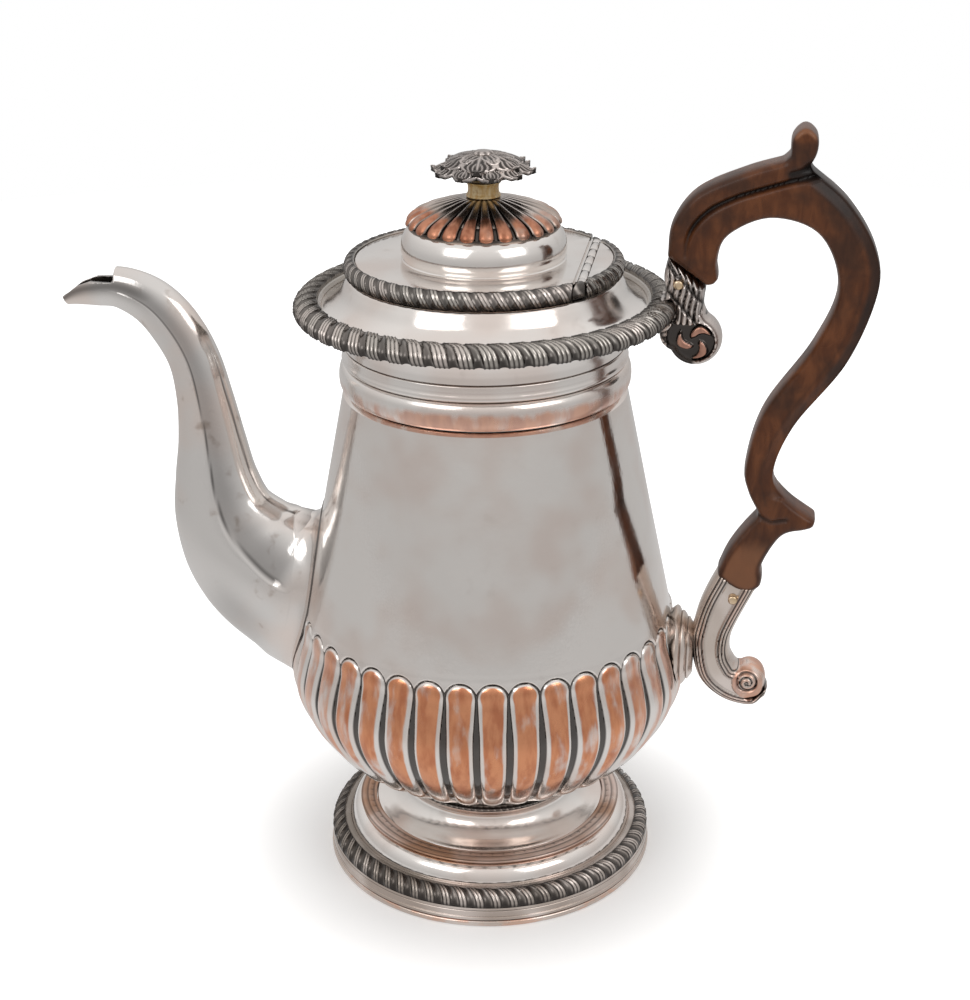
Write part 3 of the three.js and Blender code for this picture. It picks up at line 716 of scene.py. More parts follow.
def build_flower():
    """Two rows of lobed leaves that droop at their tips, over a dark turned core."""
    # Each row's number of leaves and share of a leaf it is turned by, and its leaves' sizes.
    rows = [(6, 0.5, 2.6, 14.9, 260.2, 3.9, 6.6), (10, 0.0, 6.0, 17.5, 257.9, 3.4, 5.2)]
    points, relief, faces = [], [], []
    one = grid_faces(2 * LEAF_HALF_RING, LEAF_STEPS, wrap_columns=False, caps=True)
    for count, offset, *shape in rows:
        for k in range(count):
            made, shade = leaf(TAU * (k + offset) / count, *shape)
            first = len(points) * shade.size
            faces += [[first + corner for corner in face] for face in one]
            points.append(made)
            relief.append(shade.ravel())
    relief = np.concatenate(relief)
    layers = {"relief": relief, "wear": 0 * relief}
    leaves = mesh_piece("finial_flower_leaves", np.vstack(points), faces, layers, crease=60)
    put(leaves, "lid", "foliage", "dark_silver", "finial_flower")
    core = spline([[2, 259.4], [6, 259], [10, 257.2], [12.6, 255.2], [11, 253.6], [6, 252.2], [2, 251.9]], 30)
    # the core's low relief darkens it: painted shade under the leaves, with patina
    put(turned("finial_flower_core", core, 96, relief=0.15), "lid", "foliage", "dark_silver", "finial_flower")


def build_hinge():
    """The five knuckles, turn about on the pot and the lid, and the fillings beside them."""
    names = [("body_knuckle_front", "pot"), ("lid_knuckle_front", "lid"), ("body_knuckle_middle", "pot"),
             ("lid_knuckle_back", "lid"), ("body_knuckle_back", "pot")]
    for node, body in names:
        low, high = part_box(node)
        y0, y1 = low.y / MM - KNUCKLE_GROWTH, high.y / MM + KNUCKLE_GROWTH
        outline = [[PIN_BORE, y0], [KNUCKLE_RADIUS, y0], [KNUCKLE_RADIUS, y1], [PIN_BORE, y1]]
        tube = cross_turned(node + "_tube", HINGE_X, HINGE_Z, rounded(outline, 0.03, 2), crease=20)
        put(tube, body, "polished", "silver", node)
    build_hinge_strip()


def hinge_arc(radius, start, end, count=6):
    """Points of an x-z arc round the hinge line, between two angles in degrees."""
    turn = np.radians(np.linspace(start, end, count))[:, None]
    return np.hstack([HINGE_X + radius * np.cos(turn), HINGE_Z + radius * np.sin(turn)])


def build_hinge_strip():
    """Narrow fillings between the lid's flat edges and the hinge, hollowed round it so that they clear it."""
    flat = [[LID_CUT_X, 225.2], [HINGE_X - 1.85, 225.3], [HINGE_X - 1.75, LID_TOP], [HINGE_X - 1.1, LID_TOP]]
    lid_side = joined(flat, hinge_arc(2.02, 122, 154), [[LID_CUT_X, 225.0]])
    put(prism("hinge_strip_lid", lid_side, LID_STRIP_HALF), "lid", "polished", "silver", "lid_plate")
    fixed_x = FIXED_CUT_X + 0.1
    fixed_side = joined([[fixed_x, 225.6]], hinge_arc(2.12, 37, 16), [[fixed_x, 224.8]])
    ledge = prism("hinge_strip_fixed", fixed_side, FIXED_STRIP_HALF)
    put(ledge, "pot", "polished", "silver", "fixed_lid_segment")
    for side, name in ((-1, "front"), (1, "back")):
        y0, y1 = HINGE_END
        outline = rounded([[0.02, y0], [KNUCKLE_RADIUS, y0], [KNUCKLE_RADIUS, y1], [0.02, y1]], 0.2, 3)
        plug = cross_turned(f"hinge_end_{name}", HINGE_X, HINGE_Z, outline * [1, side])
        put(plug, "pot", "polished", "silver", "fixed_border_segment")
        build_border_end(f"border_end_{name}", side)


def build_border_end(name, side):
    """The fixed border's end round the hinge line. The lid's border turns over it."""
    profile = np.array(LID_EDGE)[::-1]
    hood = hinge_arc(KNUCKLE_RADIUS, 180, 0, 17)
    left, right = HINGE_X - KNUCKLE_RADIUS - 0.02, HINGE_X + KNUCKLE_RADIUS + 0.02
    loop = joined([[left, 221.5], [left, 223.4]], hood, [[right, 223.4], [right, 221.5]])
    middle = np.array([HINGE_X, 223.6])
    across = np.stack([loop] + [middle + (loop - middle) * size for size in np.linspace(1, 0.02, 14)])
    reach = np.sqrt(np.interp(across[..., 1], profile[:, 1], profile[:, 0]) ** 2 - across[..., 0] ** 2)
    reach[0] = BORDER_END_Y
    reach[1] -= 0.25
    points = np.stack([across[..., 0], side * reach, across[..., 1]], -1)
    faces = grid_faces(*reach.shape, wrap_rows=False)
    first = np.arange(len(loop))
    faces += [first.tolist(), (reach.size - 1 - first).tolist()]
    reed = across[..., 0] - HINGE_X - side * 0.6 * (across[..., 1] - middle[1])
    relief = 0.42 + 0.5 * bell(reed, 0.5)
    piece = mesh_piece(name, points, faces, {"relief": relief})
    put(piece, "pot", "border", "dark_silver", "fixed_border_segment")


# ---- spout ----
# Places, half heights and half widths of the spout's sections, from inside the body to the lip.
SPOUT = [[-44, 84, 29, 18], [-65.4, 98.8, 31.2, 19.4], [-78.1, 105.7, 28.1, 17.8], [-86.5, 113.4, 25.7, 16.2],
         [-92, 121, 22.5, 14.6], [-96, 130.5, 18.7, 12.8], [-97.8, 142.5, 15.2, 11], [-98.5, 156, 12.4, 9.4],
         [-100, 171.5, 10.3, 8.2], [-103, 186, 9.3, 7.4], [-109, 197.7, 9.2, 6.8], [-117, 206.3, 8.6, 6.2],
         [-127.5, 210.8, 7.4, 5.6], [-137, 210.2, 6.2, 4.8], [-143, 208.5, 4.6, 3.6], [-147.8, 206, 2.2, 2.0]]
# The x-z outline of what is cut away above the lip and past it.
BEAK = [[-128.5, 230], [-128.5, 214.6], [-129.3, 213.6], [-137, 213.6], [-142.5, 211.5], [-147.6, 207.6],
        [-150, 206.4], [-160, 206.4], [-160, 230]]
SPOUT_ROWS = 190
SPOUT_COLUMNS = 128
SPOUT_CLEARANCE = 0.1
RIB_HALF = 3.1
RIB_DEPTH = 0.95


def spout_path():
    """Rows of x, z, half height, half width and the two parts of the section's outward direction."""
    stations = spline(SPOUT, SPOUT_ROWS)
    step = np.gradient(stations[:, :2], axis=0)
    step = step / np.linalg.norm(step, axis=1, keepdims=True)
    return np.hstack([stations, np.stack([-step[:, 1], step[:, 0]], 1)])


def spout_section(rows, turn, grow=0.0, panelled=True):
    """Points and relief of the spout's skin. rows is n x 6. A quarter turn is on the section's outer edge."""
    x, z, high, wide, out_x, out_z = (rows[:, k:k + 1] for k in range(6))
    high, wide = np.maximum(high + grow, 0.5), np.maximum(wide + grow, 0.5)
    lift, across = np.sin(turn) * high, np.cos(turn) * wide
    relief = np.ones_like(lift)
    if panelled:
        lift, across, relief = panelled_skin(lift, across, high, wide, turn)
    return np.stack([x + out_x * lift, across + 0 * x, z + out_z * lift], -1), relief


def panelled_skin(lift, across, high, wide, turn):
    """The skin with its flatter inner panels, the rib along its inner edge and the dark lines there. Its
    relief paints shade in the crease, beside the rib, on the inner panel and near the beak; the dark patch on
    the belly is a stain.
    """
    share = np.linspace(0, 1, len(lift))[:, None] + 0 * turn
    outer = np.sin(turn)
    crease = 0.2 * smooth_step(share, 0.25, 0.7) - 0.16
    below = smooth_step(outer, crease - 0.03, crease + 0.015)
    fade = smooth_step(share, 0.165, 0.21) * (1 - smooth_step(share, 0.86, 0.93))
    flat = (1 - below) * smooth_step(outer, -0.95, crease - 0.2)
    flat = np.where(outer > crease - 0.2, 1 - below, flat) * fade
    past = np.maximum(0.2 - share, 0) * 230 + np.maximum(share - 0.72, 0) * 120
    reach = np.hypot(np.abs(turn_from(turn, -math.pi / 2)) * wide, past)
    rib = np.sqrt(np.clip(1 - (reach / RIB_HALF) ** 2, 0, 1))
    zone = smooth_step(share, 0.13, 0.19) * (1 - smooth_step(share, 0.6, 0.78))
    inset = RIB_DEPTH * np.where(reach < RIB_HALF, 1 - rib, bell(reach, 4.5, RIB_HALF)) * zone
    # crease_line and rib_line are painted shade in the crease and beside the rib, panel is painted shade on
    # the inner panel, beak is a painted reflection of darkness on the wall near the lip, belly is a stain
    crease_line = 0.8 * bell(outer - crease, 0.03, -0.03) * fade
    rib_line = 0.8 * bell(reach, 0.35, RIB_HALF) * zone
    panel = 0.42 * flat * (reach > RIB_HALF)
    beak = 0.62 * smooth_step(share, 0.76, 0.86) * bell(outer, 0.4, -0.25)
    belly = 0.36 * bell(share, 0.07, 0.23) * smooth_step(outer, 0.0, 0.55)
    across = across * (1 - 0.07 * flat) * (1 - 0.6 * inset / wide)
    return lift * (1 - inset / high), across, 1 - np.max([crease_line, rib_line, panel, beak, belly], 0)


def first_rows(points):
    """For each column, the row number (with its fraction) where the skin is just clear of the body."""
    gap = np.hypot(points[..., 0], points[..., 1]) - body_radius(points[..., 2]) - SPOUT_CLEARANCE
    found = []
    for column in gap.T:
        last = np.nonzero(column < 0)[0].max()
        found.append(last + column[last] / (column[last] - column[last + 1]))
    return np.array(found)


def at_rows(points, rows):
    """Each column's points at its own fractional rows."""
    low = np.clip(np.floor(rows).astype(int), 0, len(points) - 2)
    part = (rows - low)[..., None]
    column = np.broadcast_to(np.arange(points.shape[1]), rows.shape)
    return points[low, column] * (1 - part) + points[low + 1, column] * part


def build_spout():
    """The hollow spout from the body's side to its lip, with the lip cut to a beak."""
    rows = spout_path()
    turn = np.linspace(0, TAU, SPOUT_COLUMNS, endpoint=False)[None, :]
    skin, relief = spout_section(rows, turn)
    thick = SHEET + 0.09 * rows[:, 3:4] * (1 - smooth_step(np.linspace(0, 1, SPOUT_ROWS)[:, None], 0.8, 0.9))
    inside, _ = spout_section(rows, turn, -thick, panelled=False)
    start = first_rows(skin)
    share = np.linspace(0, 1, SPOUT_ROWS - 20)[:, None]
    place = start[None, :] * (1 - share) + (SPOUT_ROWS - 1) * share
    outer = at_rows(skin, place)
    shade = at_rows(relief[..., None], place)[..., 0]
    start_in = np.maximum(first_rows(inside), start)
    inner = at_rows(inside, (start_in[None, :] * (1 - share) + (SPOUT_ROWS - 1) * share)[::-3])
    points = np.vstack([outer, inner])
    # the inside gets a low relief, which darkens it: painted shade
    relief = np.vstack([shade, np.full(inner.shape[:2], 0.25)])
    faces = grid_faces(*relief.shape)
    piece = mesh_piece("spout_panelled", points, faces, crease=50)
    cut_with(piece, prism("beak_cutter", BEAK, 20))
    relief_from(piece, points.reshape(-1, 3), relief.ravel())
    put(piece, "pot", "spout", "silver", "spout_half_front", "spout_half_back")
    build_flange(rows, turn, skin, start)


def prism(name, outline, half):
    """A closed plate of an x-z outline, from y = -half to y = half."""
    n = len(outline)
    points = [[x, y, z] for y in (-half, half) for x, z in outline]
    faces = [list(range(n)), list(range(2 * n - 1, n - 1, -1))]
    faces += [[k, k + n, (k + 1) % n + n, (k + 1) % n] for k in range(n)]
    return mesh_piece(name, points, faces)


def cut_with(piece, tool):
    """Takes the tool's shape out of the piece, and the tool out of the scene."""
    change = piece.modifiers.new("cut", "BOOLEAN")
    change.object = tool
    change.operation = "DIFFERENCE"
    change.solver = "EXACT"
    settle(piece)
    bpy.data.objects.remove(tool)


def settle(piece):
    """Applies the piece's modifiers."""
    graph = bpy.context.evaluated_depsgraph_get()
    mesh = bpy.data.meshes.new_from_object(piece.evaluated_get(graph))
    piece.modifiers.clear()
    piece.data = mesh


def relief_from(piece, points, values):
    """Gives each vertex the relief of the nearest of the points."""
    tree = KDTree(len(points))
    for k, point in enumerate(points * MM + AXIS):
        tree.insert(point, k)
    tree.balance()
    found = [values[tree.find(v.co)[1]] for v in piece.data.vertices]
    layer = piece.data.attributes.new("relief", "FLOAT", "POINT")
    layer.data.foreach_set("value", np.array(found, np.float32))


def build_flange(rows, turn, skin, start):
    """The hollow fillet that joins the spout to the body, with a thin edge."""
    top = smooth_step(-np.sin(turn[0]), 0.5, 1.0)
    row_length = along_of(rows[:, :2])[-1, 0] / SPOUT_ROWS
    up_spout = (6.5 + 13 * top) / row_length
    on_spout = at_rows(skin, start[None, :] + up_spout[None, :] * np.linspace(1, 0, 24)[:, None])
    corner = on_spout[-1]
    out = corner - corner.mean(0)
    out = out / np.linalg.norm(out, axis=1, keepdims=True)
    rise = np.linspace(0, 1, 14)[1:, None, None]
    on_body = corner + rise * (4.4 + 3.8 * top)[None, :, None] * out
    surface = body_radius(on_body[..., 2])
    on_body[..., :2] *= ((surface + 0.35) / np.hypot(on_body[..., 0], on_body[..., 1]))[..., None]
    sharp = np.vstack([on_spout + 0.08 * out, on_body])
    face = sharp.copy()
    for _ in range(110):
        face[1:-1] = 0.5 * face[1:-1] + 0.25 * (face[:-2] + face[2:])
    face = sharp + (face - sharp) * smooth_step(np.arange(len(face)), 0, 15)[:, None, None]
    face[0] -= 0.2 * out
    under = on_body[-1].copy()
    under[:, :2] *= ((surface[-1] - 0.3) / (surface[-1] + 0.35))[:, None]
    hidden = corner - 0.6 * out
    points = np.vstack([face, under[None], hidden[None]])
    relief = np.ones(points.shape[:2])
    # the rows under the edge and inside are darkened: painted shade
    relief[len(face) - 1:] = 0.2
    faces = grid_faces(*points.shape[:2])
    fillet = mesh_piece("spout_fillet", points, faces, {"relief": relief}, crease=50)
    put(fillet, "pot", "spout", "silver", "spout_flange")


# ---- carved pieces ----
def from_path(points, path):
    """For each x-z point, the step to it from the nearest place on a path, and the span that place is on."""
    step, span = np.full(points.shape, 1e9), np.zeros(len(points), int)
    for k, (start, end) in enumerate(zip(path, path[1:])):
        edge = end - start
        rel = points - start
        share = np.clip(rel @ edge / (edge @ edge), 0, 1)
        gap = rel - share[:, None] * edge
        closer = (gap**2).sum(1) < (step**2).sum(1)
        step[closer], span[closer] = gap[closer], k
    return step, span


def line_distance(points, path):
    """Distance in x-z from an open path."""
    step, _ = from_path(points[:, [0, 2]], np.asarray(path, float))
    return np.linalg.norm(step, axis=1)


def from_edge(points, outline):
    """Depth inside a closed x-z outline, and the direction that goes deeper."""
    path = np.vstack([outline, outline[:1]])
    step, span = from_path(points, path)
    area = 0.5 * np.sum(path[:-1, 0] * path[1:, 1] - path[1:, 0] * path[:-1, 1])
    edge = np.diff(path, axis=0)
    inward = np.stack([-edge[:, 1], edge[:, 0]], 1) / np.linalg.norm(edge, axis=1)[:, None] * np.sign(area)
    reach = np.linalg.norm(step, axis=1)
    straight = step / np.maximum(reach, 1e-9)[:, None]
    inside = (straight * inward[span]).sum(1) > -0.2
    way = np.where((inside & (reach > 0.25))[:, None], straight, inward[span])
    return np.where(inside, reach, -reach), way


def remeshed(piece, voxel):
    """Points and faces of the piece after a voxel remesh, in millimetres from the pot's axis."""
    change = piece.modifiers.new("remesh", "REMESH")
    change.mode = "VOXEL"
    change.voxel_size = voxel * MM
    settle(piece)
    mesh = piece.data
    points = np.empty(len(mesh.vertices) * 3)
    mesh.vertices.foreach_get("co", points)
    corners = np.empty(len(mesh.loops), int)
    mesh.loops.foreach_get("vertex_index", corners)
    bpy.data.objects.remove(piece)
    return (points.reshape(-1, 3) - AXIS) / MM, corners.reshape(-1, 4)


def relaxed(points, faces, times):
    """Moves every point towards the middle of its neighbours, a few times."""
    pairs = np.vstack([faces[:, [k, (k + 1) % 4]] for k in range(4)])
    count = np.bincount(pairs[:, 0], minlength=len(points))[:, None]
    for _ in range(times):
        total = np.stack([np.bincount(pairs[:, 0], points[pairs[:, 1], k], len(points)) for k in range(3)], 1)
        points = 0.4 * points + 0.6 * total / count
    return points


def carved(name, outline, half, radius, voxel, carve, bulge=None):
    """A plate of an x-z outline, with edges rounded by radius and squarer where bulge is low.

    carve gives each point's cut, relief and wear.
    """
    points, faces = remeshed(prism(name + "_blank", outline, half), voxel)
    depth, way = from_edge(points[:, [0, 2]], outline)
    side = np.clip(1 - np.abs(points[:, 1]) / half, 0, 1)
    near = np.clip(depth / radius, 0, 1)
    turn = math.pi / 4 * (1 + near - side)
    power = bulge(points) if bulge else 1.0
    shift = np.where(depth < radius, radius * (1 - np.maximum(np.cos(turn), 0) ** power) - depth, 0)
    points[:, [0, 2]] += way * shift[:, None]
    points[:, 1] = np.sign(points[:, 1]) * half * np.sin(turn) ** power
    points = relaxed(points, faces, 3)
    cut, relief, wear = carve(points, np.maximum(depth + shift, 0))
    points[:, 1] -= np.sign(points[:, 1]) * cut * smooth_step(np.sin(turn), 0.45, 0.9)
    return mesh_piece(name, points, faces, {"relief": relief, "wear": wear}, crease=80)


# The handle's back, the groove along its arch, the line inside its back, and two roots.
HANDLE_BACK = [[106.4, 258.4], [118, 248.6], [127.3, 234], [129.2, 219], [121, 195], [105, 172], [99, 154.5],
               [104, 145.7]]
GROOVE = [[66.2, 230], [68, 237.6], [73.6, 244.6], [82, 249.3], [91, 252.4], [99, 254.8], [105.5, 256.3],
          [109, 257]]
INNER_LINE = [[106, 253.2], [114.4, 246.6], [121.6, 235], [124, 221], [117.2, 199.6], [101.6, 175], [95, 157],
              [97, 144]]
THUMB_ROOT = [[99.4, 257.2], [105.6, 259]]
SPUR_ROOT = [[94.5, 139.8], [99, 137.6], [104, 138.6]]


def handle_outline():
    arch = spline([[61, 229], [62.2, 240], [69.8, 250.6], [85, 257.8], [97.2, 261.6]], 30)
    thumb = spline([[98.8, 263.2], [99.2, 268.8], [103, 272.2], [106.9, 269.4], [107.2, 264.6],
                    [105.4, 260.2]], 22)
    back = spline([*HANDLE_BACK, [114, 138.4]], 60)
    spur = spline([[114, 137.6], [113.4, 135.6], [110.4, 134.4], [103, 131.8], [97, 121], [97.2, 115.4]], 22)
    low_end = [[96.8, 112.6], [95, 110.8], [91.8, 109.9], [88, 110.9], [84.6, 112.9], [81.8, 115.4]]
    inner_low = spline([[81.6, 117.2], [84.6, 124.8], [88.9, 131.8], [94.2, 138.6]], 14)
    inner = spline([[94.3, 140.4], [90.6, 148], [89.3, 157], [94.5, 177], [109.5, 200.5], [116.3, 220],
                    [109.5, 237.4], [94, 242.6], [80.5, 236.6], [77.2, 228], [77.9, 222.4], [76.6, 220.2],
                    [74.2, 219.6]], 70)
    return joined(arch, thumb, back, spur, low_end, inner_low, inner)


def carve_handle(points, depth):
    x, z = points[:, 0], points[:, 2]
    groove = bell(line_distance(points, spline(GROOVE, 40)), 0.95) * smooth_step(x, 64.6, 69)
    band = line_distance(points, spline(INNER_LINE, 50))
    outer_edge = line_distance(points, spline(HANDLE_BACK, 50))
    chamfer = 1.3 * (1 - smooth_step(outer_edge, 1.5, 4.6)) * (z > 146)
    root = bell(line_distance(points, THUMB_ROOT), 1.5)
    spur = bell(line_distance(points, SPUR_ROOT), 0.8)
    cut = 2.2 * groove + chamfer + 1.6 * root + 0.9 * spur
    # low relief darkens the wood: painted shade in the groove, at the thumb's and spur's roots and along the
    # line inside the back; the back edge above z 150, the part below z 175 outside the low end and a band
    # under the thumb's top are made darker too
    relief = 1 - np.clip(0.95 * groove + 0.9 * root + 0.6 * spur + 0.35 * bell(band, 0.8), 0, 1)
    relief = relief * (1 - 0.72 * (1 - smooth_step(outer_edge, 2.4, 5.0)) * smooth_step(z, 150, 215))
    low_end = (1 - smooth_step(z, 124, 136)) * smooth_step(depth, 0.6, 2.6)
    relief = relief * (0.72 + 0.28 * np.maximum(smooth_step(z, 145, 175), low_end))
    thumb = bell(depth, 0.7, 0.8) * smooth_step(z, 267, 270)
    relief = relief * (1 - 0.4 * smooth_step(z, 260, 263) * (1 - smooth_step(z, 267, 269)))
    return cut, relief, np.maximum(thumb, 0.72 * low_end)


def handle_bulge(points):
    """Squarer edges at the thumb rest."""
    return np.where((points[:, 2] > 261) & (points[:, 0] > 97), 0.35, 0.58)


def build_handle():
    scroll = carved("handle_carved", handle_outline(), HANDLE_HALF, 3.6, 0.55, carve_handle, handle_bulge)
    put(scroll, "pot", "wood", "fruitwood", "handle")


UPPER_VOLUTE = np.array([70.9, 200.8])
LOWER_VOLUTE = np.array([94.4, 74.8])
SPIRAL_SHIFT = 0.6
BOSS_HEIGHT = 84.5
BOSS_END = 74.3


def polar(points, centre):
    x, z = points[:, 0] - centre[0], points[:, 2] - centre[1]
    return np.hypot(x, z), np.arctan2(z, x)


def upper_socket_outline():
    left = spline([[61.4, 229], [60, 222], [60.6, 215.5], [58, 214], [62.8, 213.4], [63.4, 209.6],
                   [60.6, 207.4], [58.9, 203.4], [59.6, 199.4], [62, 197]], 40)
    turn = np.linspace(math.pi * 1.14, math.pi * 2.34, 44)[:, None]
    curl = UPPER_VOLUTE + 9 * np.hstack([np.cos(turn), np.sin(turn)])
    right = spline([[74.4, 210], [73.4, 213], [74, 219]], 10)
    return joined(left, curl, right)


def carve_upper_socket(points, _depth):
    x, z = points[:, 0], points[:, 2]
    reach, turn = polar(points, UPPER_VOLUTE)
    across = (x - 59.5) * 0.93 - (z - 214) * 0.38
    along = (x - 66) * 0.38 + (z - 209) * 0.93
    bend = across + 0.03 * along**2 + 0.9 * np.sin(along / 2.6)
    overlap = (along / 6.5 + across / 14) % 1
    ribs = 0.25 + 0.75 * np.abs(np.sin(math.pi * bend / 2.1)) ** 0.9
    tiers = (0.45 + 0.55 * smooth_step(overlap, 0.0, 0.35)) * (1 - smooth_step(overlap, 0.9, 1.0))
    leaf = np.clip(ribs * tiers, 0, 1)
    petals = np.clip(np.sin(3 * turn + 0.8 * reach + 0.8) * 1.6 + 0.15, 0, 1) * smooth_step(reach, 1.0, 2.2)
    petals = petals * (1 - smooth_step(reach, 5.4, 6.2))
    rim = smooth_step(reach, 6.3, 6.9) * smooth_step(np.cos(turn - 0.2), -0.5, 0.0)
    in_volute = (reach < 9.4) & ((z < 206.5) | (x > 72))
    relief = np.where(in_volute, np.maximum(petals, rim), leaf)
    cut = np.where(in_volute, 2.4 * (1 - np.maximum(petals * 0.65, rim)), 1.9 * (1 - leaf))
    wear = np.where(in_volute & (reach < 6.9), petals, 0)
    return cut, relief, wear


def lower_socket_outline():
    left = spline([[82.3, 118], [77.1, 106.4], [74.5, 97.2], [73.4, 88], [76.4, 75], [85, 67], [95.6, 64.8],
                   [100.8, 69]], 56)
    tip = [[101.2, 71.6], [100.3, 73.2]]
    turn = np.linspace(0.0, math.pi * 0.72, 26)[:, None]
    curl = LOWER_VOLUTE + 5.8 * np.hstack([np.cos(turn), np.sin(turn)])
    right = spline([[89.4, 80.6], [87.4, 84.6], [87.2, 90], [89, 96.4], [96.1, 112.4]], 30)
    return joined(left, tip, curl, right), left, right


def carve_lower_socket(points, _depth):
    reach, turn = polar(points, LOWER_VOLUTE)
    _, left, right = lower_socket_outline()
    from_side = np.minimum(line_distance(points, left), line_distance(points, right))
    near_eye, _ = polar(points, LOWER_VOLUTE + [-SPIRAL_SHIFT, SPIRAL_SHIFT])
    on_strap = smooth_step(reach, 5.4, 6.2)
    lines = sum(bell(from_side, 0.32, line) for line in (1.6, 2.7, 3.9)) * on_strap
    panel = smooth_step(from_side, 4.1, 5.0) * on_strap
    spiral = (near_eye - 1.7 * (turn / TAU)) / 1.7 % 1
    in_coil = 1 - smooth_step(near_eye, 3.1, 3.5)
    coil = 1 - in_coil * (1 - ridge(spiral, 0.0, 0.86))
    edge = bell(near_eye, 0.35, 3.5)
    gap = bell(reach, 0.6, 6.1) * (np.sin(turn) < 0.0) * smooth_step(np.cos(turn), -0.3, 0.3)
    relief = np.clip(1 - lines - 0.8 * edge, 0, 1) * coil * (1 - gap)
    relief = relief * (1 - 0.45 * bell(from_side, 1.2, 4.8) * on_strap)
    relief = relief * (1 - 0.22 * (1 - on_strap))
    cut = 0.7 * lines + 0.9 * panel + 0.9 * (1 - coil) + 0.9 * edge + 2.6 * gap
    cut = cut - 0.9 * (1 - smooth_step(near_eye, 0.8, 3.5))
    wear = np.where(reach < 5.8, 0.62 * coil, 0.42 * smooth_step(from_side, 0.8, 2.4) * (from_side < 4.6))
    return cut, relief, wear


def build_sockets():
    upper = carved("socket_acanthus", upper_socket_outline(), SOCKET_HALF, 3.4, 0.42, carve_upper_socket)
    put(upper, "pot", "foliage", "dark_silver", "upper_socket")
    lower = carved("socket_reeded", lower_socket_outline()[0], SOCKET_HALF, 3.0, 0.42, carve_lower_socket)
    put(lower, "pot", "socket", "silver", "lower_socket")
    for node in ("upper_socket_rivet", "lower_socket_rivet"):
        build_rivet(node)
    build_boss()


def build_rivet(node):
    """A pin with a low domed head at each end."""
    low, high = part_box(node)
    x, z = (low.x + high.x) / 2 / MM - AXIS[0] / MM, (low.z + high.z) / 2 / MM
    end = high.y / MM - 0.1
    head = spline([[0.02, end + 0.55], [0.8, end + 0.5], [1.5, end + 0.15], [1.6, end - 0.5]], 10)
    outline = np.vstack([head, [[1.6, -end]], (head * [1, -1])[::-1]])
    put(cross_turned(node + "_domed", x, z, outline, 40), "pot", "brass", "brass", node)


def build_boss():
    """The ribbed foot between the body and the lower socket."""
    x = np.array([67.5, 68.1, 68.9, 69.5, 69.8, 70.2, 70.8, 71.6, 72.1, 72.4, 72.8, 73.3, 73.9, 74.2])
    size = np.array([14.3, 14.6, 14.2, 13.2, 12.5, 12.9, 12.6, 11.6, 10.6, 10.9, 10.6, 9.8, 9.0, 8.4])
    relief = np.array([0.5, 0.9, 1, 0.85, 0.4, 0.85, 1, 0.85, 0.4, 0.85, 1, 0.85, 0.7, 0.5])
    angle = full_turn(160)
    flat = 1 - 0.06 * np.cos(2 * angle)
    rib = size[:, None] * flat
    inner = np.array([0.02, 4, 9, 13])[:, None] + 0 * angle
    end_rings = np.array([5.0, 0.02])[:, None] + 0 * angle

    def in_wall(reach):
        """Where a ring of that radius meets the body, a little inside its wall."""
        square = body_radius(BOSS_HEIGHT + reach * np.sin(angle)) ** 2 - (reach * np.cos(angle)) ** 2
        return np.sqrt(np.maximum(square, 1)) - 0.7

    radius = np.vstack([inner, rib, end_rings])
    out = np.vstack([in_wall(inner), np.maximum(x[:, None], in_wall(rib)), BOSS_END + 0 * end_rings])
    shade = np.concatenate([np.full(4, 0.3), relief, np.full(2, 0.3)])[:, None] + 0 * radius
    points = np.stack([out, radius * np.cos(angle), BOSS_HEIGHT + radius * np.sin(angle)], -1)
    faces = grid_faces(*radius.shape, wrap_rows=False)
    boss = mesh_piece("boss_ribbed", points, faces, {"relief": shade, "wear": 0.3 * shade})
    put(boss, "pot", "socket", "silver", "lower_boss")


build_foot()
build_bowl()
build_upper_body()
build_neck()
build_rim()
build_lid()
build_finial()
build_hinge()
build_spout()
build_handle()
build_sockets()


# ---- CAD nodes that stay ----
KEPT = {"hinge_pin": "polished", "finial_screw": "polished", "finial_washer": "polished",
        "finial_nut": "brass"}
for node, material in KEPT.items():
    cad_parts[node].data.materials.clear()
    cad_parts[node].data.materials.append(MATERIALS[material])


# ---- stage, in metres ----
def grey(value):
    return (value, value, value, 1)


ROOM_LOW, ROOM_HIGH = (0.52, 0.515, 0.51, 1), (0.86, 0.85, 0.84, 1)
PAPER_RADIUS = 1.1
PAPER_SIDES = 96
PAINTED_SHADOW_EDGE = (0.058, 0.125)                    # where the painted shadow round the foot starts and ends, from the axis
SOFT_BOX_SIZE, SOFT_BOX_POWER, SOFT_BOX_TARGET = (0.8, 0.7), 3.0, (0, 0, 0.15)
CAMERA_TURN, CAMERA_PITCH, CAMERA_ROLL = (math.radians(angle) for angle in (9, 23.125, -0.616))
CAMERA_PLACE = (0.1007, -0.58125, 0.3890)
CAMERA_LENS = 65.42


def build_world():
    """A dim studio that is brighter above, and plain white where the camera looks past the paper."""
    n = Nodes(bpy.data.worlds.new("studio"))
    height = n.add("ShaderNodeSeparateXYZ", {"Vector": n.coordinates["Generated"]}).outputs["Z"]
    rise = n.add("ShaderNodeMapRange", {"Value": height, "From Min": -0.05, "From Max": 0.75}).outputs[0]
    room = n.add("ShaderNodeBackground", {"Color": n.mix(rise, ROOM_LOW, ROOM_HIGH)}).outputs[0]
    white = n.add("ShaderNodeBackground", {"Color": grey(1)}).outputs[0]
    camera_ray = n.add("ShaderNodeLightPath").outputs["Is Camera Ray"]
    both = n.add("ShaderNodeMixShader", {0: camera_ray, 1: room, 2: white}).outputs[0]
    n.add("ShaderNodeOutputWorld", {"Surface": both})
    bpy.context.scene.world = n.owner


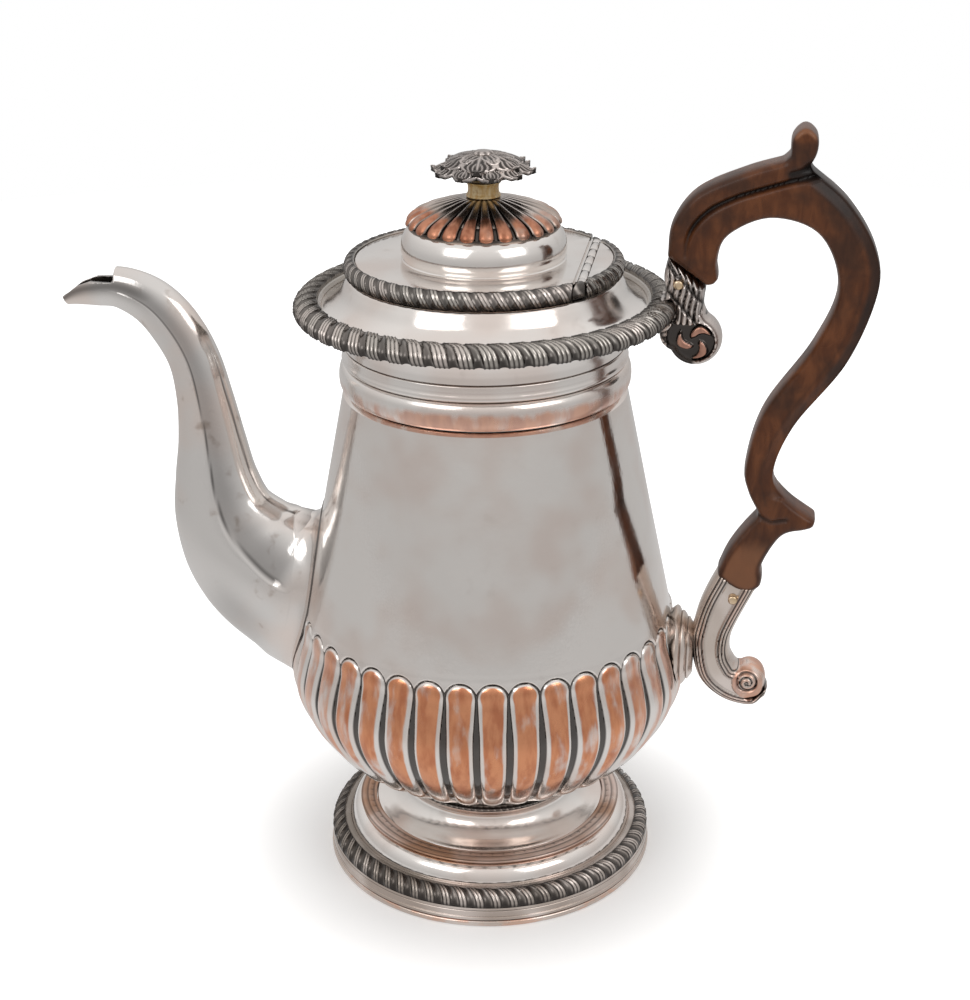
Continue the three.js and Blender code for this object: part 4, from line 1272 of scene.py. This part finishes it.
def build_paper():
    """A round sheet of white paper that gives off light: to the pot a painted pool of light, brightest near
    its foot; to the camera white, with a painted shadow round the foot.
    """
    angle = full_turn(PAPER_SIDES).ravel()
    points = PAPER_RADIUS / MM * np.stack([np.cos(angle), np.sin(angle), 0 * angle], 1)
    paper = mesh_piece("paper", points, [list(range(PAPER_SIDES))])
    n = Nodes(bpy.data.materials.new("paper"))
    distance = n.add("ShaderNodeVectorMath", {0: n.place, 1: tuple(AXIS)}, operation="DISTANCE")
    middle = distance.outputs["Value"]
    # what the pot sees: brightest near the foot, a painted pool of light
    painted_light_for_pot = n.over(grey(0.5), (0.31, 0.307, 0.304, 1), middle, 0.1, 0.5)
    camera_ray = n.add("ShaderNodeLightPath").outputs["Is Camera Ray"]
    # what the camera sees: dimmer near the foot, a painted shadow
    painted_shadow_for_camera = n.over(grey(0.1), grey(0.6), middle, *PAINTED_SHADOW_EDGE)
    painted_glow = n.mix(camera_ray, painted_light_for_pot, painted_shadow_for_camera)
    white = n.mix(camera_ray, grey(0.25), grey(0.92))
    settings = {"Base Color": white, "Roughness": 0.9, "Specular IOR Level": 0.0, "Emission Color": painted_glow,
                "Emission Strength": 1.0}
    shader = n.add("ShaderNodeBsdfPrincipled", settings)
    n.add("ShaderNodeOutputMaterial", {"Surface": shader.outputs[0]})
    paper.data.materials.append(n.owner)


def soft_box(name, place):
    """A large rectangular lamp that faces the pot."""
    light = bpy.data.lights.new(name, "AREA")
    light.shape = "RECTANGLE"
    light.size, light.size_y = SOFT_BOX_SIZE
    light.energy = SOFT_BOX_POWER
    box = bpy.data.objects.new(name, light)
    bpy.context.scene.collection.objects.link(box)
    box.location = place
    box.rotation_euler = (Vector(SOFT_BOX_TARGET) - Vector(place)).to_track_quat("-Z", "Y").to_euler()


def build_camera():
    """The camera, from the directions it looks in and leans to."""
    level = Vector((math.cos(CAMERA_TURN), math.sin(CAMERA_TURN), 0))
    ahead = Vector((-math.sin(CAMERA_TURN), math.cos(CAMERA_TURN), 0))
    forward = math.cos(CAMERA_PITCH) * ahead + Vector((0, 0, -math.sin(CAMERA_PITCH)))
    over = level.cross(forward)
    right = math.cos(CAMERA_ROLL) * level + math.sin(CAMERA_ROLL) * over
    up = -math.sin(CAMERA_ROLL) * level + math.cos(CAMERA_ROLL) * over
    data = bpy.data.cameras.new("camera")
    data.lens = CAMERA_LENS
    camera = bpy.data.objects.new("camera", data)
    camera.matrix_world = Matrix((right, up, -forward)).transposed().to_4x4()
    camera.location = CAMERA_PLACE
    bpy.context.scene.collection.objects.link(camera)
    bpy.context.scene.camera = camera


build_world()
build_paper()
soft_box("soft_box_left", (-0.62, -1.0, 1.0))
soft_box("soft_box_right", (1.0, -0.75, 1.0))
bpy.context.scene.view_settings.view_transform = "Standard"
build_camera()
